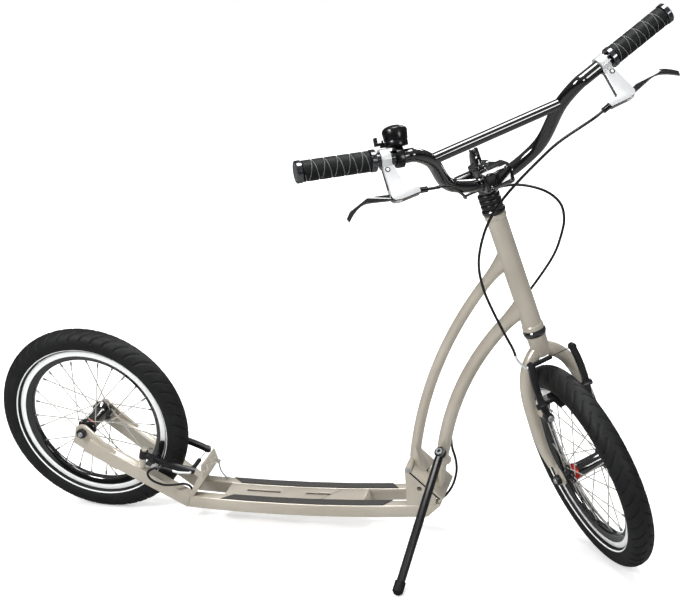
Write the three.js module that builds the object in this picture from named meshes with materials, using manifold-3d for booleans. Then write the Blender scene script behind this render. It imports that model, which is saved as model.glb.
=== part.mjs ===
// Folding kick bike with two 16 inch spoked wheels, in millimetres, +Z up.
// The scooter is drawn upright in its own frame: origin on the rear axle, +X forward, +Y to the
// rider's left. At the end it is leaned on its kickstand until both tyres and the stand's foot
// touch one level ground.
import * as THREE from 'three';
import { mergeVertices } from 'three/addons/utils/BufferGeometryUtils.js';
import Module from 'manifold-3d';

// Clearances and overruns
const seatGap = 0.3;
const runningGap = 0.5;
const cutOverrun = 2;
const weldDepth = 1.5;

// Wheels
const rimRadius = 160;
const rimWidth = 24;
const rimDepth = 24;
const rimInnerRadius = rimRadius - rimDepth;
const brakeTrackHeight = 11;
const tyreHeight = 43;
const tyreRadius = rimRadius + tyreHeight;
const tyreSectionRadius = 23.5;
const tyreWall = 3.5;
const rimInnerWidth = 12;
const rimWall = 2.5;
const hubShellRadius = 14;
const hubBoreRadius = 10;
const rightFlangeRadius = 19;
const leftFlangeRadius = 22;
const flangeThickness = 3.5;
const flangeSpacing = 69;
const spokeHoleInset = 3;
const hubBandRadius = 16;
const hubBandWidth = 9;
const spokeRadius = 1;
const spokeCount = 28;
const spokeRimOffset = 3;
const spokeSides = 4;
const spokeCrossings = 6;
const bearingRadius = 13;
const bearingWidth = 8;
const axleRadius = 5;
const axleNutRadius = 10.5;
const axleNutThickness = 8;
const lockNutRadius = 9;
const overLockNuts = 100;
const axleStub = 3;

// Deck and stays
const deckWidth = 82;
const tubeWidth = 20;
const tubeHeight = 27;
const tubeWall = 2;
const deckBowRadius = 3240;
const deckLowX = 250;
const deckLowZ = -138;
const deckRearX = 207;
const deckFrontX = 727;
const deckFrontCut = 26;
const stayRearX = 8.6;
const stayRearZ = -25;
const staySpread = 55;
const stayHeight = 30;
const dropoutThickness = 6;
const dropoutRadius = 16;
const dropoutReach = 96;
const dropoutDepth = 34;
const deckPlateRearX = 275;
const deckPlateFrontX = 567;
const deckPlateThickness = 3;
const deckPlateFlange = 14;
const deckSlotWidth = 7;
const deckSlotLength = 72;
const deckSlotCentresX = [351, 476];
const stripThickness = 1.5;
const stripWidth = 18;
const stripRearX = 273;
const stripFrontX = 628;
const stripRearTaper = 22;
const stripFrontTaper = 16;

// Rear bridge plate in front of the rear wheel, with its wire catch
const bridgeThickness = 3;
const bridgeFootX = 211;
const bridgeFaceX = 238;
const bridgeBendRise = 38;
const bridgeHeight = 70;
const bridgeTopWidth = 66;
const bridgeHoleRadius = 3.5;
const bridgeHoleSpacing = 56;
const bridgeSlotSpacing = 20;
const bridgeSlotWidth = 6;
const bridgeSlotLength = 15;
const gussetThickness = 3;
const gussetLength = 26;
const wireRadius = 1.5;
const wireReach = 44;
const wireTipRadius = 2.6;
const wireTipLength = 9;
const wireEyeRadius = 3.4;

// Fold hinge at the front of the deck: two plates that meet on a slanted seam, with the pin at
// its upper rear end
const hingeX = 668;
const hingeZ = -31;
const hingeAngle = 44;
const hingeLength = 84;
const hingePlateThickness = 4;
const hingeLip = 9;
const hingeCheekThickness = 4;
const hingeCheekHole = 5;
const hingePinRadius = 3;
const hingePinHead = 3.5;
const knuckleRadius = 6.5;
const knuckleLength = 25;
const gussetWidth = 30;
const lobeRadius = 9;
const lobeThickness = 4;
const lobeRise = 10;
const latchPlace = 43;
const latchSlotBack = 9;
const latchSlotFront = 7;
const latchWidth = 11;
const latchEyeRadius = 6;
const latchPinRadius = 2.5;
const latchHookDepth = 5;
const latchThumbLength = 18;
const latchSlotWidth = 13.5;

// Column: two curved oval tubes from the hinge to the head tube. Each arc starts at a place down
// the hinge seam and ends at a height on the steering axis
const rearArcFoot = 4.3;
const rearArcTop = 418.2;
const rearArcRadius = 830;
const rearTubeDepth = 20;
const rearTubeBreadth = 26;
const frontArcFoot = 75.2;
const frontArcTop = 321.5;
const frontArcRadius = 560;
const frontTubeDepth = 25;
const frontTubeBreadth = 30;
const frontTubeFootDepth = 9;
const tubeFlareDepth = 42;
const columnSides = 10;

// Head tube, drawn on the steering axis: z runs up the axis from the level of the rear axle
const headAxisX = 984;
const headAngle = 16.3;
const headTubeLow = 273.6;
const headTubeHigh = 499.6;
const headTubeRadius = 18;
const headTubeWall = 2.5;
const headRingRadius = 19.5;
const headRingHeight = 8;
const cupRadius = 21;
const cupHeight = 11;
const steerAngle = -53.8;

// Fork
const steererRadius = 13;
const forkRake = 34;
const frontAxleZ = -2.6;
const crownTop = 261.5;
const crownNeck = 17.5;
const crownMiddleZ = 238;
const legTopRadius = 13.5;
const legMidRadius = 12;
const legEndRadius = 8;
const legSpread = 59;
const legSides = 8;
const forkEndRadius = 13;
const forkEndThickness = 6;
const forkEndRise = 34;

// Rim brakes: each pair lies in a frame on its wheel's axle, x out past the rim, y to the left
// and z along the pivot posts
const brakePivotDrop = 32;
const brakePivotReach = rimRadius - brakePivotDrop;
const brakePivotSpread = 42;
const noodleTyreGap = 24.6;
const brakeArmWidth = 11;
const brakeArmThickness = 9;
const brakeArmBow = 5;
const brakeEndRadius = 7;
const brakeBarrelRadius = 8.5;
const brakeBarrelLength = 17;
const brakePostRadius = 4;
const brakeCollarRadius = 7.5;
const brakeBoltRadius = 6;
const brakeBoltThickness = 4;
const padArc = 19;
const padHeight = 8;
const padThickness = 10;
const padRimGap = 1.7;
const padStudRadius = 3.5;
const padNutRadius = 5.5;
const padNutThickness = 4;
const rearBrakeAngle = -16;
const rearBrakePlane = -12;
const frontBrakeAngle = 90;
const frontBrakePlane = -11;
const noodleRadius = 2.4;
const bootRadius = 4.4;
const bootBore = 2.9;
const bootLength = 34;
const brakeArmReach = tyreRadius + bootRadius + noodleTyreGap;
const wireLength = 50;
const cableWireRadius = 0.8;

// Spacers, stem and handlebar, on the steering axis
const spacerRadius = 19.5;
const spacerWaist = 17.5;
const spacerHeight = 9;
const spacerCount = 3;
const stemCollarRadius = 15.5;
const stemCollarHeight = 7;
const stemBodyRadius = 19;
const stemBodyHeight = 46;
const stemReach = 60;
const stemClampRise = 38;
const stemNeckWidth = 30;
const stemWidth = 52;
const stemBlockHeight = 36;
const faceplateThickness = 15;
const clampBoltRadius = 3.2;
const clampBoltHead = 3;
const clampBoltSpacing = 34;
const postRadius = 8;
const postHeight = 26;
const quickPinRadius = 2.5;
const quickEyeRadius = 7;
const quickLeverWidth = 9;
const quickLeverThickness = 7;
const quickLeverDrop = 46;
const quickLeverBack = 34;
const camRadius = 11;
const camLength = 24;
const barRadius = 11.1;
const barHalfWidth = 332;
const barRise = 162;
const barForward = 98;
const barSides = 10;
const crossbarRadius = 9;
const gripLength = 126;
const gripRadius = 16.5;
const gripSleeveWall = 1.5;
const gripCollarRadius = 17.5;
const gripCollarWidth = 9;
const gripRidgeCount = 4;
const gripRidgeDepth = 0.9;

// Brake levers, in a frame on the bar: x out along the bar, y from the bar towards the lever
const leverPlace = 196;
const leverClampRadius = 16;
const leverClampWidth = 15;
const leverBodyThickness = 13;
const leverPivotReach = 66;
const leverPivotRadius = 7.5;
const leverPinRadius = 2.5;
const leverBarrelReach = 61;
const leverBarrelOut = 53;
const leverBarrelRadius = 5;
const leverBarrelLength = 18;
const bladeLength = 80;
const bladeWidth = 9;
const bladeThickness = 6;
const bladeWaistDrop = 1.5;
const bladeEndRise = 27;
const bladeTowardShares = [0.577, -0.817];

// Bell on the bar beside the right brake lever
const bellPlace = 173;
const bellAngle = 105;
const bellRadius = 20;
const bellHeight = 24;
const bellSideHeight = 15;
const bellSideTaper = 1.5;
const bellWall = 1.8;
const bellBaseRadius = 18;
const bellBaseHeight = 8;
const bellPostRadius = 3.5;
const bellClampWidth = 12;
const bellClampWall = 5;
const bellLeverReach = 31;
const bellLeverWidth = 8;
const bellLeverThickness = 4;
const bellTabRise = 13;
const bellSides = 16;

// Kickstand on the right side of the front column tube
const standPivotZ = 8;
const standPivotSide = 33;
const standLegLength = 272;
const standLegRadius = 8;
const standEyeRadius = 11;
const standEyeThickness = 9;
const standLugRadius = 10;
const standBoltRadius = 3.5;
const standBoltHeadRadius = 7;
const standBoltHead = 4;
const standFootRadius = 10.2;
const standFootLength = 26;
const standDownShares = [-0.128, -0.798, -0.588];
const standStowShares = [-0.93, -0.15, -0.33];

// Brake cables
const cableRadius = 2.4;
const columnCableShare = 0.85;
const columnCableEndShare = 0.4;
const cableSides = 6;

// Facets
const ringSegments = 36;
const smallSegments = 14;

const materials = {
  paint: { color: 0xb8ae9a, metalness: 0.45, roughness: 0.38 },
  blackMetal: { color: 0x16171a, metalness: 0.5, roughness: 0.25 },
  tyre: { color: 0x2b2c2e, metalness: 0, roughness: 0.8 },
  rim: { color: 0x1b1c1e, metalness: 0.5, roughness: 0.4 },
  silver: { color: 0xc9cbcc, metalness: 0.9, roughness: 0.3 },
  rubber: { color: 0x232426, metalness: 0, roughness: 0.75 },
  gripTape: { color: 0x3c3d40, metalness: 0, roughness: 0.95 },
  plastic: { color: 0x141416, metalness: 0, roughness: 0.45 },
};

const wasm = await Module();
wasm.setup();

const xAxis = new THREE.Vector3(1, 0, 0);
const yAxis = new THREE.Vector3(0, 1, 0);
const zAxis = new THREE.Vector3(0, 0, 1);

function vec(x, y, z) {
  return new THREE.Vector3(x, y, z);
}

function radians(degrees) {
  return THREE.MathUtils.degToRad(degrees);
}

// A point or direction in the scooter's middle plane, turned up from +X by an angle in degrees
function heading(degrees) {
  return vec(Math.cos(radians(degrees)), 0, Math.sin(radians(degrees)));
}

function offset(point, direction, distance) {
  return point.clone().addScaledVector(direction, distance);
}

// Position only, corners merged, flat triangles dropped, faces turned outwards
function cleanMesh(geometry) {
  const bare = new THREE.BufferGeometry();
  bare.setAttribute('position', geometry.getAttribute('position').clone());
  if (geometry.index) bare.setIndex(geometry.index.clone());
  const merged = mergeVertices(bare, seatGap * 0.01);
  const position = merged.getAttribute('position');
  const corners = [];
  let volume = 0;
  const a = vec(0, 0, 0);
  const b = vec(0, 0, 0);
  const c = vec(0, 0, 0);
  for (let i = 0; i < merged.index.count; i += 3) {
    const ids = [merged.index.getX(i), merged.index.getX(i + 1), merged.index.getX(i + 2)];
    if (ids[0] === ids[1] || ids[1] === ids[2] || ids[2] === ids[0]) continue;
    corners.push(ids);
    a.fromBufferAttribute(position, ids[0]);
    b.fromBufferAttribute(position, ids[1]);
    c.fromBufferAttribute(position, ids[2]);
    volume += a.dot(b.cross(c));
  }
  const turned = volume < 0 ? corners.map(([p, q, r]) => [p, r, q]) : corners;
  return { vertices: new Float32Array(position.array), triangles: new Uint32Array(turned.flat()) };
}

function toSolid(geometry) {
  const { vertices, triangles } = cleanMesh(geometry);
  return new wasm.Manifold(new wasm.Mesh({ numProp: 3, vertProperties: vertices, triVerts: triangles }));
}

function toGeometry(solid) {
  const mesh = solid.getMesh();
  const geometry = new THREE.BufferGeometry();
  geometry.setAttribute('position', new THREE.BufferAttribute(new Float32Array(mesh.vertProperties), 3));
  geometry.setIndex(Array.from(mesh.triVerts));
  return geometry;
}

function join(...geometries) {
  return toGeometry(geometries.map(toSolid).reduce((sum, next) => sum.add(next)));
}

function cut(base, ...tools) {
  return toGeometry(tools.map(toSolid).reduce((rest, tool) => rest.subtract(tool), toSolid(base)));
}

function turnTo(geometry, from, to) {
  geometry.applyQuaternion(new THREE.Quaternion().setFromUnitVectors(from, to.clone().normalize()));
  return geometry;
}

// A round bar between two points, tapered when two radii are given
function rod(start, end, radius, sides = smallSegments, endRadius = radius) {
  const along = end.clone().sub(start);
  const geometry = new THREE.CylinderGeometry(endRadius, radius, along.length(), sides);
  turnTo(geometry, yAxis, along);
  const middle = start.clone().add(end).multiplyScalar(0.5);
  return geometry.translate(middle.x, middle.y, middle.z);
}

// The radius of a faceted bore that clears a round bar of the given radius
function bored(radius, sides) {
  return (radius + seatGap) / Math.cos(Math.PI / sides);
}

// A profile of [radius, height] pairs turned about a direction through a foot point
function turned(profile, foot, direction, segments = smallSegments) {
  const geometry = new THREE.LatheGeometry(profile.map(([r, h]) => new THREE.Vector2(r, h)), segments);
  turnTo(geometry, yAxis, direction);
  return geometry.translate(foot.x, foot.y, foot.z);
}

function block(lowX, highX, lowY, highY, lowZ, highZ) {
  const geometry = new THREE.BoxGeometry(highX - lowX, highY - lowY, highZ - lowZ);
  return geometry.translate((lowX + highX) / 2, (lowY + highY) / 2, (lowZ + highZ) / 2);
}

// An outline in the XZ plane made thick along Y
function slab(shape, lowY, highY, curveSegments = smallSegments) {
  const geometry = new THREE.ExtrudeGeometry(shape, { depth: highY - lowY, bevelEnabled: false, curveSegments });
  return geometry.rotateX(Math.PI / 2).translate(0, highY, 0);
}

// An outline in the XY plane made thick along Z
function sheet(shape, lowZ, highZ, curveSegments = smallSegments) {
  const geometry = new THREE.ExtrudeGeometry(shape, { depth: highZ - lowZ, bevelEnabled: false, curveSegments });
  return geometry.translate(0, 0, lowZ);
}

function polygon(points) {
  return new THREE.Shape(points.map(([x, y]) => new THREE.Vector2(x, y)));
}

function circleShape(x, y, radius) {
  const shape = new THREE.Shape();
  shape.absarc(x, y, radius, 0, Math.PI * 2);
  return shape;
}

// A closed skin over rings of equal point count
function loft(rings) {
  const count = rings[0].length;
  const points = rings.flat();
  const index = [];
  for (let r = 0; r + 1 < rings.length; r += 1) {
    for (let i = 0; i < count; i += 1) {
      const a = r * count + i;
      const b = r * count + ((i + 1) % count);
      index.push(a, b, b + count, a, b + count, a + count);
    }
  }
  const last = (rings.length - 1) * count;
  for (let i = 1; i + 1 < count; i += 1) {
    index.push(0, i + 1, i);
    index.push(last, last + i, last + i + 1);
  }
  const geometry = new THREE.BufferGeometry().setFromPoints(points);
  geometry.setIndex(index);
  return geometry;
}

function ovalRing(centre, across, upward, halfAcross, halfUp, sides) {
  const ring = [];
  for (let i = 0; i < sides; i += 1) {
    const angle = (i / sides) * Math.PI * 2;
    const point = offset(centre, across, Math.cos(angle) * halfAcross);
    ring.push(offset(point, upward, Math.sin(angle) * halfUp));
  }
  return ring;
}

// A tube of changing oval section along stations, each with a place and two half sizes
function sweepOval(stations, across, sides) {
  const rings = stations.map((station, i) => {
    const before = stations[Math.max(i - 1, 0)].at;
    const after = stations[Math.min(i + 1, stations.length - 1)].at;
    const tangent = after.clone().sub(before).normalize();
    const side = offset(across, tangent, -across.dot(tangent)).normalize();
    const upward = tangent.clone().cross(side);
    return ovalRing(station.at, side, upward, station.halfAcross, station.halfUp, sides);
  });
  return loft(rings);
}

// A round tube of one radius along a smooth curve through points
function pipe(points, radius, sides, steps) {
  const section = new THREE.Shape();
  for (let i = 0; i < sides; i += 1) {
    const angle = (i / sides) * Math.PI * 2;
    if (i === 0) section.moveTo(radius, 0);
    else section.lineTo(Math.cos(angle) * radius, Math.sin(angle) * radius);
  }
  section.closePath();
  const path = new THREE.CatmullRomCurve3(points, false, 'centripetal');
  return new THREE.ExtrudeGeometry(section, { steps, extrudePath: path, bevelEnabled: false });
}

function addPiece(group, name, geometry, finish) {
  const flat = toGeometry(toSolid(geometry)).toNonIndexed();
  flat.computeVertexNormals();
  const mesh = new THREE.Mesh(flat, new THREE.MeshStandardMaterial(materials[finish]));
  mesh.name = name;
  group.add(mesh);
  return mesh;
}

function addGroup(parent, place = vec(0, 0, 0)) {
  const group = new THREE.Group();
  group.position.copy(place);
  parent.add(group);
  return group;
}

// A group whose axes are given by its x and y directions in the parent
function addFrame(parent, place, xDirection, yDirection) {
  const group = addGroup(parent, place);
  const x = xDirection.clone().normalize();
  const z = x.clone().cross(yDirection).normalize();
  const y = z.clone().cross(x);
  group.quaternion.setFromRotationMatrix(new THREE.Matrix4().makeBasis(x, y, z));
  return group;
}

const scooter = new THREE.Group();

// Wheels, each drawn about its own axle along Y
const halfLockNuts = overLockNuts / 2;
const flangeY = flangeSpacing / 2;
const tyreCentreRadius = tyreRadius - tyreSectionRadius;
const hubEndY = flangeY + flangeThickness / 2 + bearingWidth / 4;

function tyreProfile() {
  const beadRadius = rimRadius + seatGap;
  const openAngle = Math.acos((beadRadius - tyreCentreRadius) / tyreSectionRadius);
  const outerSteps = 8;
  const innerSteps = 2;
  const innerRadius = tyreSectionRadius - tyreWall;
  const innerAngle = Math.acos((beadRadius + tyreWall - tyreCentreRadius) / innerRadius);
  const points = [];
  for (let i = 0; i <= outerSteps; i += 1) {
    const angle = openAngle * (1 - (2 * i) / outerSteps);
    points.push([tyreCentreRadius + tyreSectionRadius * Math.cos(angle), tyreSectionRadius * Math.sin(angle)]);
  }
  points.push([beadRadius, -(rimWidth / 2 - rimWall)]);
  for (let i = 0; i <= innerSteps; i += 1) {
    const angle = -innerAngle * (1 - (2 * i) / innerSteps);
    points.push([tyreCentreRadius + innerRadius * Math.cos(angle), innerRadius * Math.sin(angle)]);
  }
  points.push([beadRadius, rimWidth / 2 - rimWall]);
  points.push(points[0]);
  return points;
}

function rimProfile() {
  const half = rimWidth / 2;
  const innerHalf = rimInnerWidth / 2;
  const trackFoot = rimRadius - brakeTrackHeight;
  const leftHalf = [
    [rimRadius, half],
    [trackFoot, half],
    [trackFoot - rimWall, half - rimWall / 2],
    [rimInnerRadius + rimWall, innerHalf + rimWall],
    [rimInnerRadius, innerHalf],
  ];
  const rightHalf = leftHalf.map(([r, y]) => [r, -y]).reverse();
  const wellRadius = rimRadius - brakeTrackHeight / 2;
  const well = [
    [rimRadius, -(half - rimWall)],
    [wellRadius, -(half - rimWall)],
    [wellRadius, half - rimWall],
    [rimRadius, half - rimWall],
  ];
  return [...leftHalf, ...rightHalf, ...well, leftHalf[0]];
}

function hubAndSpokes() {
  const seatBore = bored(bearingRadius, smallSegments);
  const seatFoot = hubEndY - bearingWidth;
  const bandHigh = -(flangeY - flangeThickness);
  const shell = turned([
    [seatBore, -hubEndY],
    [rightFlangeRadius - spokeHoleInset * 1.5, -hubEndY],
    [rightFlangeRadius, -(flangeY + flangeThickness / 2)],
    [rightFlangeRadius, -(flangeY - flangeThickness / 2)],
    [hubBandRadius, bandHigh],
    [hubBandRadius, bandHigh + hubBandWidth],
    [hubShellRadius, bandHigh + hubBandWidth + rimWall],
    [hubShellRadius, flangeY - flangeThickness * 2],
    [leftFlangeRadius, flangeY - flangeThickness / 2],
    [leftFlangeRadius, flangeY + flangeThickness / 2],
    [leftFlangeRadius - spokeHoleInset * 1.5, hubEndY],
    [seatBore, hubEndY],
    [seatBore, seatFoot],
    [hubBoreRadius, seatFoot],
    [hubBoreRadius, -seatFoot],
    [seatBore, -seatFoot],
    [seatBore, -hubEndY],
  ], vec(0, 0, 0), yAxis);
  const rimReach = rimInnerRadius * Math.cos(Math.PI / ringSegments) - seatGap - spokeRadius * 0.4;
  const crossing = (Math.PI * 2 * spokeCrossings) / spokeCount;
  const spokes = [];
  for (let i = 0; i < spokeCount; i += 1) {
    const side = i % 2 === 0 ? -1 : 1;
    const lead = Math.floor(i / 2) % 2 === 0 ? 1 : -1;
    const rimAngle = (i / spokeCount) * Math.PI * 2;
    const hubAngle = rimAngle + lead * crossing;
    const flangeRadius = (side < 0 ? rightFlangeRadius : leftFlangeRadius) - spokeHoleInset;
    const footY = side * (flangeY + (lead * flangeThickness) / 2);
    const foot = vec(Math.cos(hubAngle) * flangeRadius, footY, Math.sin(hubAngle) * flangeRadius);
    const tip = vec(Math.cos(rimAngle) * rimReach, side * spokeRimOffset, Math.sin(rimAngle) * rimReach);
    spokes.push(rod(foot, tip, spokeRadius, spokeSides));
  }
  return join(shell, ...spokes);
}

// Axle with its two bearings, lock nuts and outer nuts
function axleSet(plateThickness) {
  const nutFoot = halfLockNuts + plateThickness + seatGap;
  const nutEnd = nutFoot + axleNutThickness;
  const end = nutEnd + axleStub;
  const parts = [rod(vec(0, -end, 0), vec(0, end, 0), axleRadius, 12)];
  for (const side of [-1, 1]) {
    const inner = vec(0, side * (hubEndY - bearingWidth + seatGap), 0);
    const outer = vec(0, side * (hubEndY + seatGap), 0);
    parts.push(rod(inner, outer, bearingRadius, smallSegments));
    parts.push(rod(outer, vec(0, side * (halfLockNuts - seatGap), 0), lockNutRadius, 6));
    parts.push(rod(vec(0, side * nutFoot, 0), vec(0, side * nutEnd, 0), axleNutRadius, 6));
  }
  return join(...parts);
}

function addWheel(group, prefix, plateThickness) {
  addPiece(group, `${prefix}_tyre`, turned(tyreProfile(), vec(0, 0, 0), yAxis, ringSegments), 'tyre');
  addPiece(group, `${prefix}_rim`, turned(rimProfile(), vec(0, 0, 0), yAxis, ringSegments), 'rim');
  addPiece(group, `${prefix}_hub_and_spokes`, hubAndSpokes(), 'silver');
  addPiece(group, `${prefix}_axle`, axleSet(plateThickness), 'blackMetal');
}

// Deck: two bowed box tubes, stays to the rear axle and a slotted middle plate
const deckHalf = deckWidth / 2;
const tubeMiddle = deckHalf - tubeWidth / 2;
const bowCentreZ = deckLowZ + deckBowRadius;

function deckTopZ(x) {
  return bowCentreZ - Math.sqrt(deckBowRadius ** 2 - (x - deckLowX) ** 2);
}

function bowAngle(x, radius) {
  return Math.asin((x - deckLowX) / radius) - Math.PI / 2;
}

const stayRear = vec(stayRearX, 0, stayRearZ);
const stayFront = vec(deckRearX - tubeHeight / 4, 0, deckTopZ(deckRearX) - tubeHeight / 2);
const stayDirection = stayFront.clone().sub(stayRear).normalize();
const stayNormal = vec(-stayDirection.z, 0, stayDirection.x);
const mitreTop = vec(deckRearX, 0, deckTopZ(deckRearX));
const mitreSlope = stayNormal.clone().add(zAxis).normalize();
const mitreFoot = offset(mitreTop, mitreSlope, -tubeHeight / mitreSlope.z);

function deckTube(side) {
  const shape = new THREE.Shape();
  const outerRadius = deckBowRadius + tubeHeight;
  const frontTop = deckTopZ(deckFrontX);
  shape.moveTo(mitreTop.x + seatGap, mitreTop.z);
  shape.absarc(deckLowX, bowCentreZ, deckBowRadius, bowAngle(mitreTop.x + seatGap, deckBowRadius),
    bowAngle(deckFrontX, deckBowRadius), false);
  shape.lineTo(deckFrontX, frontTop - tubeWall * 2);
  shape.absarc(deckLowX, bowCentreZ, outerRadius, bowAngle(deckFrontX - deckFrontCut, outerRadius),
    bowAngle(mitreFoot.x + seatGap, outerRadius), true);
  shape.closePath();
  const low = side * tubeMiddle - tubeWidth / 2;
  return slab(shape, low, low + tubeWidth, 8);
}

function boxRing(centre, across, upward, halfAcross, halfUp) {
  return [[1, 1], [-1, 1], [-1, -1], [1, -1]].map(([a, u]) => {
    return offset(offset(centre, across, a * halfAcross), upward, u * halfUp);
  });
}

// The pivot post of one rim brake arm. The normal points from the tube that carries it to the
// outer end of the post
function brakePost(pivot, normal, footDepth) {
  const half = brakeBarrelLength / 2;
  const collarTop = offset(pivot, normal, -(half + seatGap));
  const headFoot = offset(pivot, normal, half + seatGap);
  return [
    rod(offset(pivot, normal, -footDepth), collarTop, brakeCollarRadius, 10),
    rod(offset(collarTop, normal, -cutOverrun), offset(headFoot, normal, cutOverrun), brakePostRadius, 10),
    rod(headFoot, offset(headFoot, normal, brakeBoltThickness), brakeBoltRadius, 6),
  ];
}

const rearBrakeOut = heading(rearBrakeAngle);
const rearBrakeNormal = heading(rearBrakeAngle + 90);

function rearPivot(side) {
  const pivot = offset(vec(0, side * brakePivotSpread, 0), rearBrakeOut, brakePivotReach);
  return offset(pivot, rearBrakeNormal, rearBrakePlane);
}

function stay(side) {
  const sideMiddle = (s) => side * s;
  const rearCentre = vec(stayRear.x, sideMiddle(staySpread), stayRear.z);
  const halfHeight = stayHeight / 2;
  const halfWidth = tubeWidth / 2;
  const frontTop = vec(mitreTop.x, sideMiddle(tubeMiddle), mitreTop.z);
  const frontFoot = vec(mitreFoot.x, sideMiddle(tubeMiddle), mitreFoot.z);
  const ringAt = (top, foot, inset) => {
    const down = foot.clone().sub(top).normalize();
    const t = offset(top, down, inset);
    const f = offset(foot, down, -inset);
    const half = halfWidth - inset;
    return [offset(t, yAxis, half), offset(t, yAxis, -half), offset(f, yAxis, -half), offset(f, yAxis, half)];
  };
  const rearTop = offset(rearCentre, stayNormal, halfHeight);
  const rearFoot = offset(rearCentre, stayNormal, -halfHeight);
  const skin = loft([ringAt(rearTop, rearFoot, 0), ringAt(frontTop, frontFoot, 0)]);
  const back = frontTop.clone().sub(rearTop).multiplyScalar(-0.05);
  const deep = frontTop.clone().sub(rearTop).multiplyScalar(0.3);
  const hollow = loft([
    ringAt(rearTop.clone().add(back), rearFoot.clone().add(back), tubeWall),
    ringAt(rearTop.clone().add(deep), rearFoot.clone().add(deep), tubeWall),
  ]);
  const open = cut(skin, hollow);
  const plateLow = side > 0 ? halfLockNuts : -(halfLockNuts + dropoutThickness);
  const plate = slab(dropoutShape(), plateLow, plateLow + dropoutThickness, 16);
  return join(open, plate, ...brakePost(rearPivot(side), rearBrakeNormal, brakeBarrelLength + stayHeight));
}

// The dropout hugs the axle, runs down beside the box tube and has a slot open to the rear
function dropoutShape() {
  const along = stayDirection;
  const down = offset(vec(0, 0, 0), stayNormal, -dropoutDepth);
  const shape = new THREE.Shape();
  const start = Math.atan2(stayNormal.z, stayNormal.x);
  const end = Math.atan2(-along.z, -along.x) + Math.PI / 6;
  const slot = axleRadius + seatGap;
  shape.absarc(0, 0, dropoutRadius, start, end, false);
  shape.lineTo(down.x - along.x * slot, down.z - along.z * slot);
  const toe = offset(down, along, dropoutReach);
  shape.lineTo(toe.x, toe.z);
  const heel = offset(vec(0, 0, 0), along, dropoutReach * 0.8);
  shape.lineTo(heel.x, heel.z);
  shape.closePath();
  shape.holes.push(circleShape(0, 0, axleRadius + runningGap));
  return shape;
}

function deckPlate() {
  const half = deckHalf - tubeWidth - seatGap;
  const shape = new THREE.Shape();
  const underRadius = deckBowRadius + deckPlateThickness;
  const sink = (x) => deckTopZ(x) - deckPlateFlange;
  shape.moveTo(deckPlateRearX, deckTopZ(deckPlateRearX));
  shape.absarc(deckLowX, bowCentreZ, deckBowRadius, bowAngle(deckPlateRearX, deckBowRadius),
    bowAngle(deckPlateFrontX, deckBowRadius), false);
  shape.lineTo(deckPlateFrontX + deckPlateFlange / 2, sink(deckPlateFrontX));
  shape.lineTo(deckPlateFrontX + deckPlateFlange / 2 - deckPlateThickness, sink(deckPlateFrontX));
  shape.absarc(deckLowX, bowCentreZ, underRadius, bowAngle(deckPlateFrontX - deckPlateThickness, underRadius),
    bowAngle(deckPlateRearX + deckPlateThickness, underRadius), true);
  shape.lineTo(deckPlateRearX - deckPlateFlange / 2 + deckPlateThickness, sink(deckPlateRearX));
  shape.lineTo(deckPlateRearX - deckPlateFlange / 2, sink(deckPlateRearX));
  shape.closePath();
  const slots = deckSlotCentresX.map((x) => {
    const z = deckTopZ(x);
    return block(x - deckSlotLength / 2, x + deckSlotLength / 2, -deckSlotWidth / 2, deckSlotWidth / 2,
      z - deckPlateFlange, z + deckPlateFlange);
  });
  return cut(slab(shape, -half, half, 8), ...slots);
}

// One grip strip along the top of a deck tube, its ends cut at a slant towards the middle
function gripStrip(side) {
  const steps = 8;
  const outer = side * (tubeMiddle + stripWidth / 2);
  const inner = side * (tubeMiddle - stripWidth / 2);
  const outerLow = stripRearX;
  const innerLow = stripRearX + stripRearTaper;
  const outerHigh = stripFrontX - stripFrontTaper;
  const innerHigh = stripFrontX;
  const rings = [];
  for (let i = 0; i <= steps; i += 1) {
    const share = i / steps;
    const outerX = outerLow + (outerHigh - outerLow) * share;
    const innerX = innerLow + (innerHigh - innerLow) * share;
    rings.push([
      vec(outerX, outer, deckTopZ(outerX) + seatGap),
      vec(innerX, inner, deckTopZ(innerX) + seatGap),
      vec(innerX, inner, deckTopZ(innerX) + seatGap + stripThickness),
      vec(outerX, outer, deckTopZ(outerX) + seatGap + stripThickness),
    ]);
  }
  return loft(rings);
}

// Bent plate across both tubes in front of the rear wheel: a sloping foot, an upright face with
// round and long holes and a small gusset down to each tube
const bridgeFootZ = deckTopZ(bridgeFootX) + seatGap;

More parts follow.
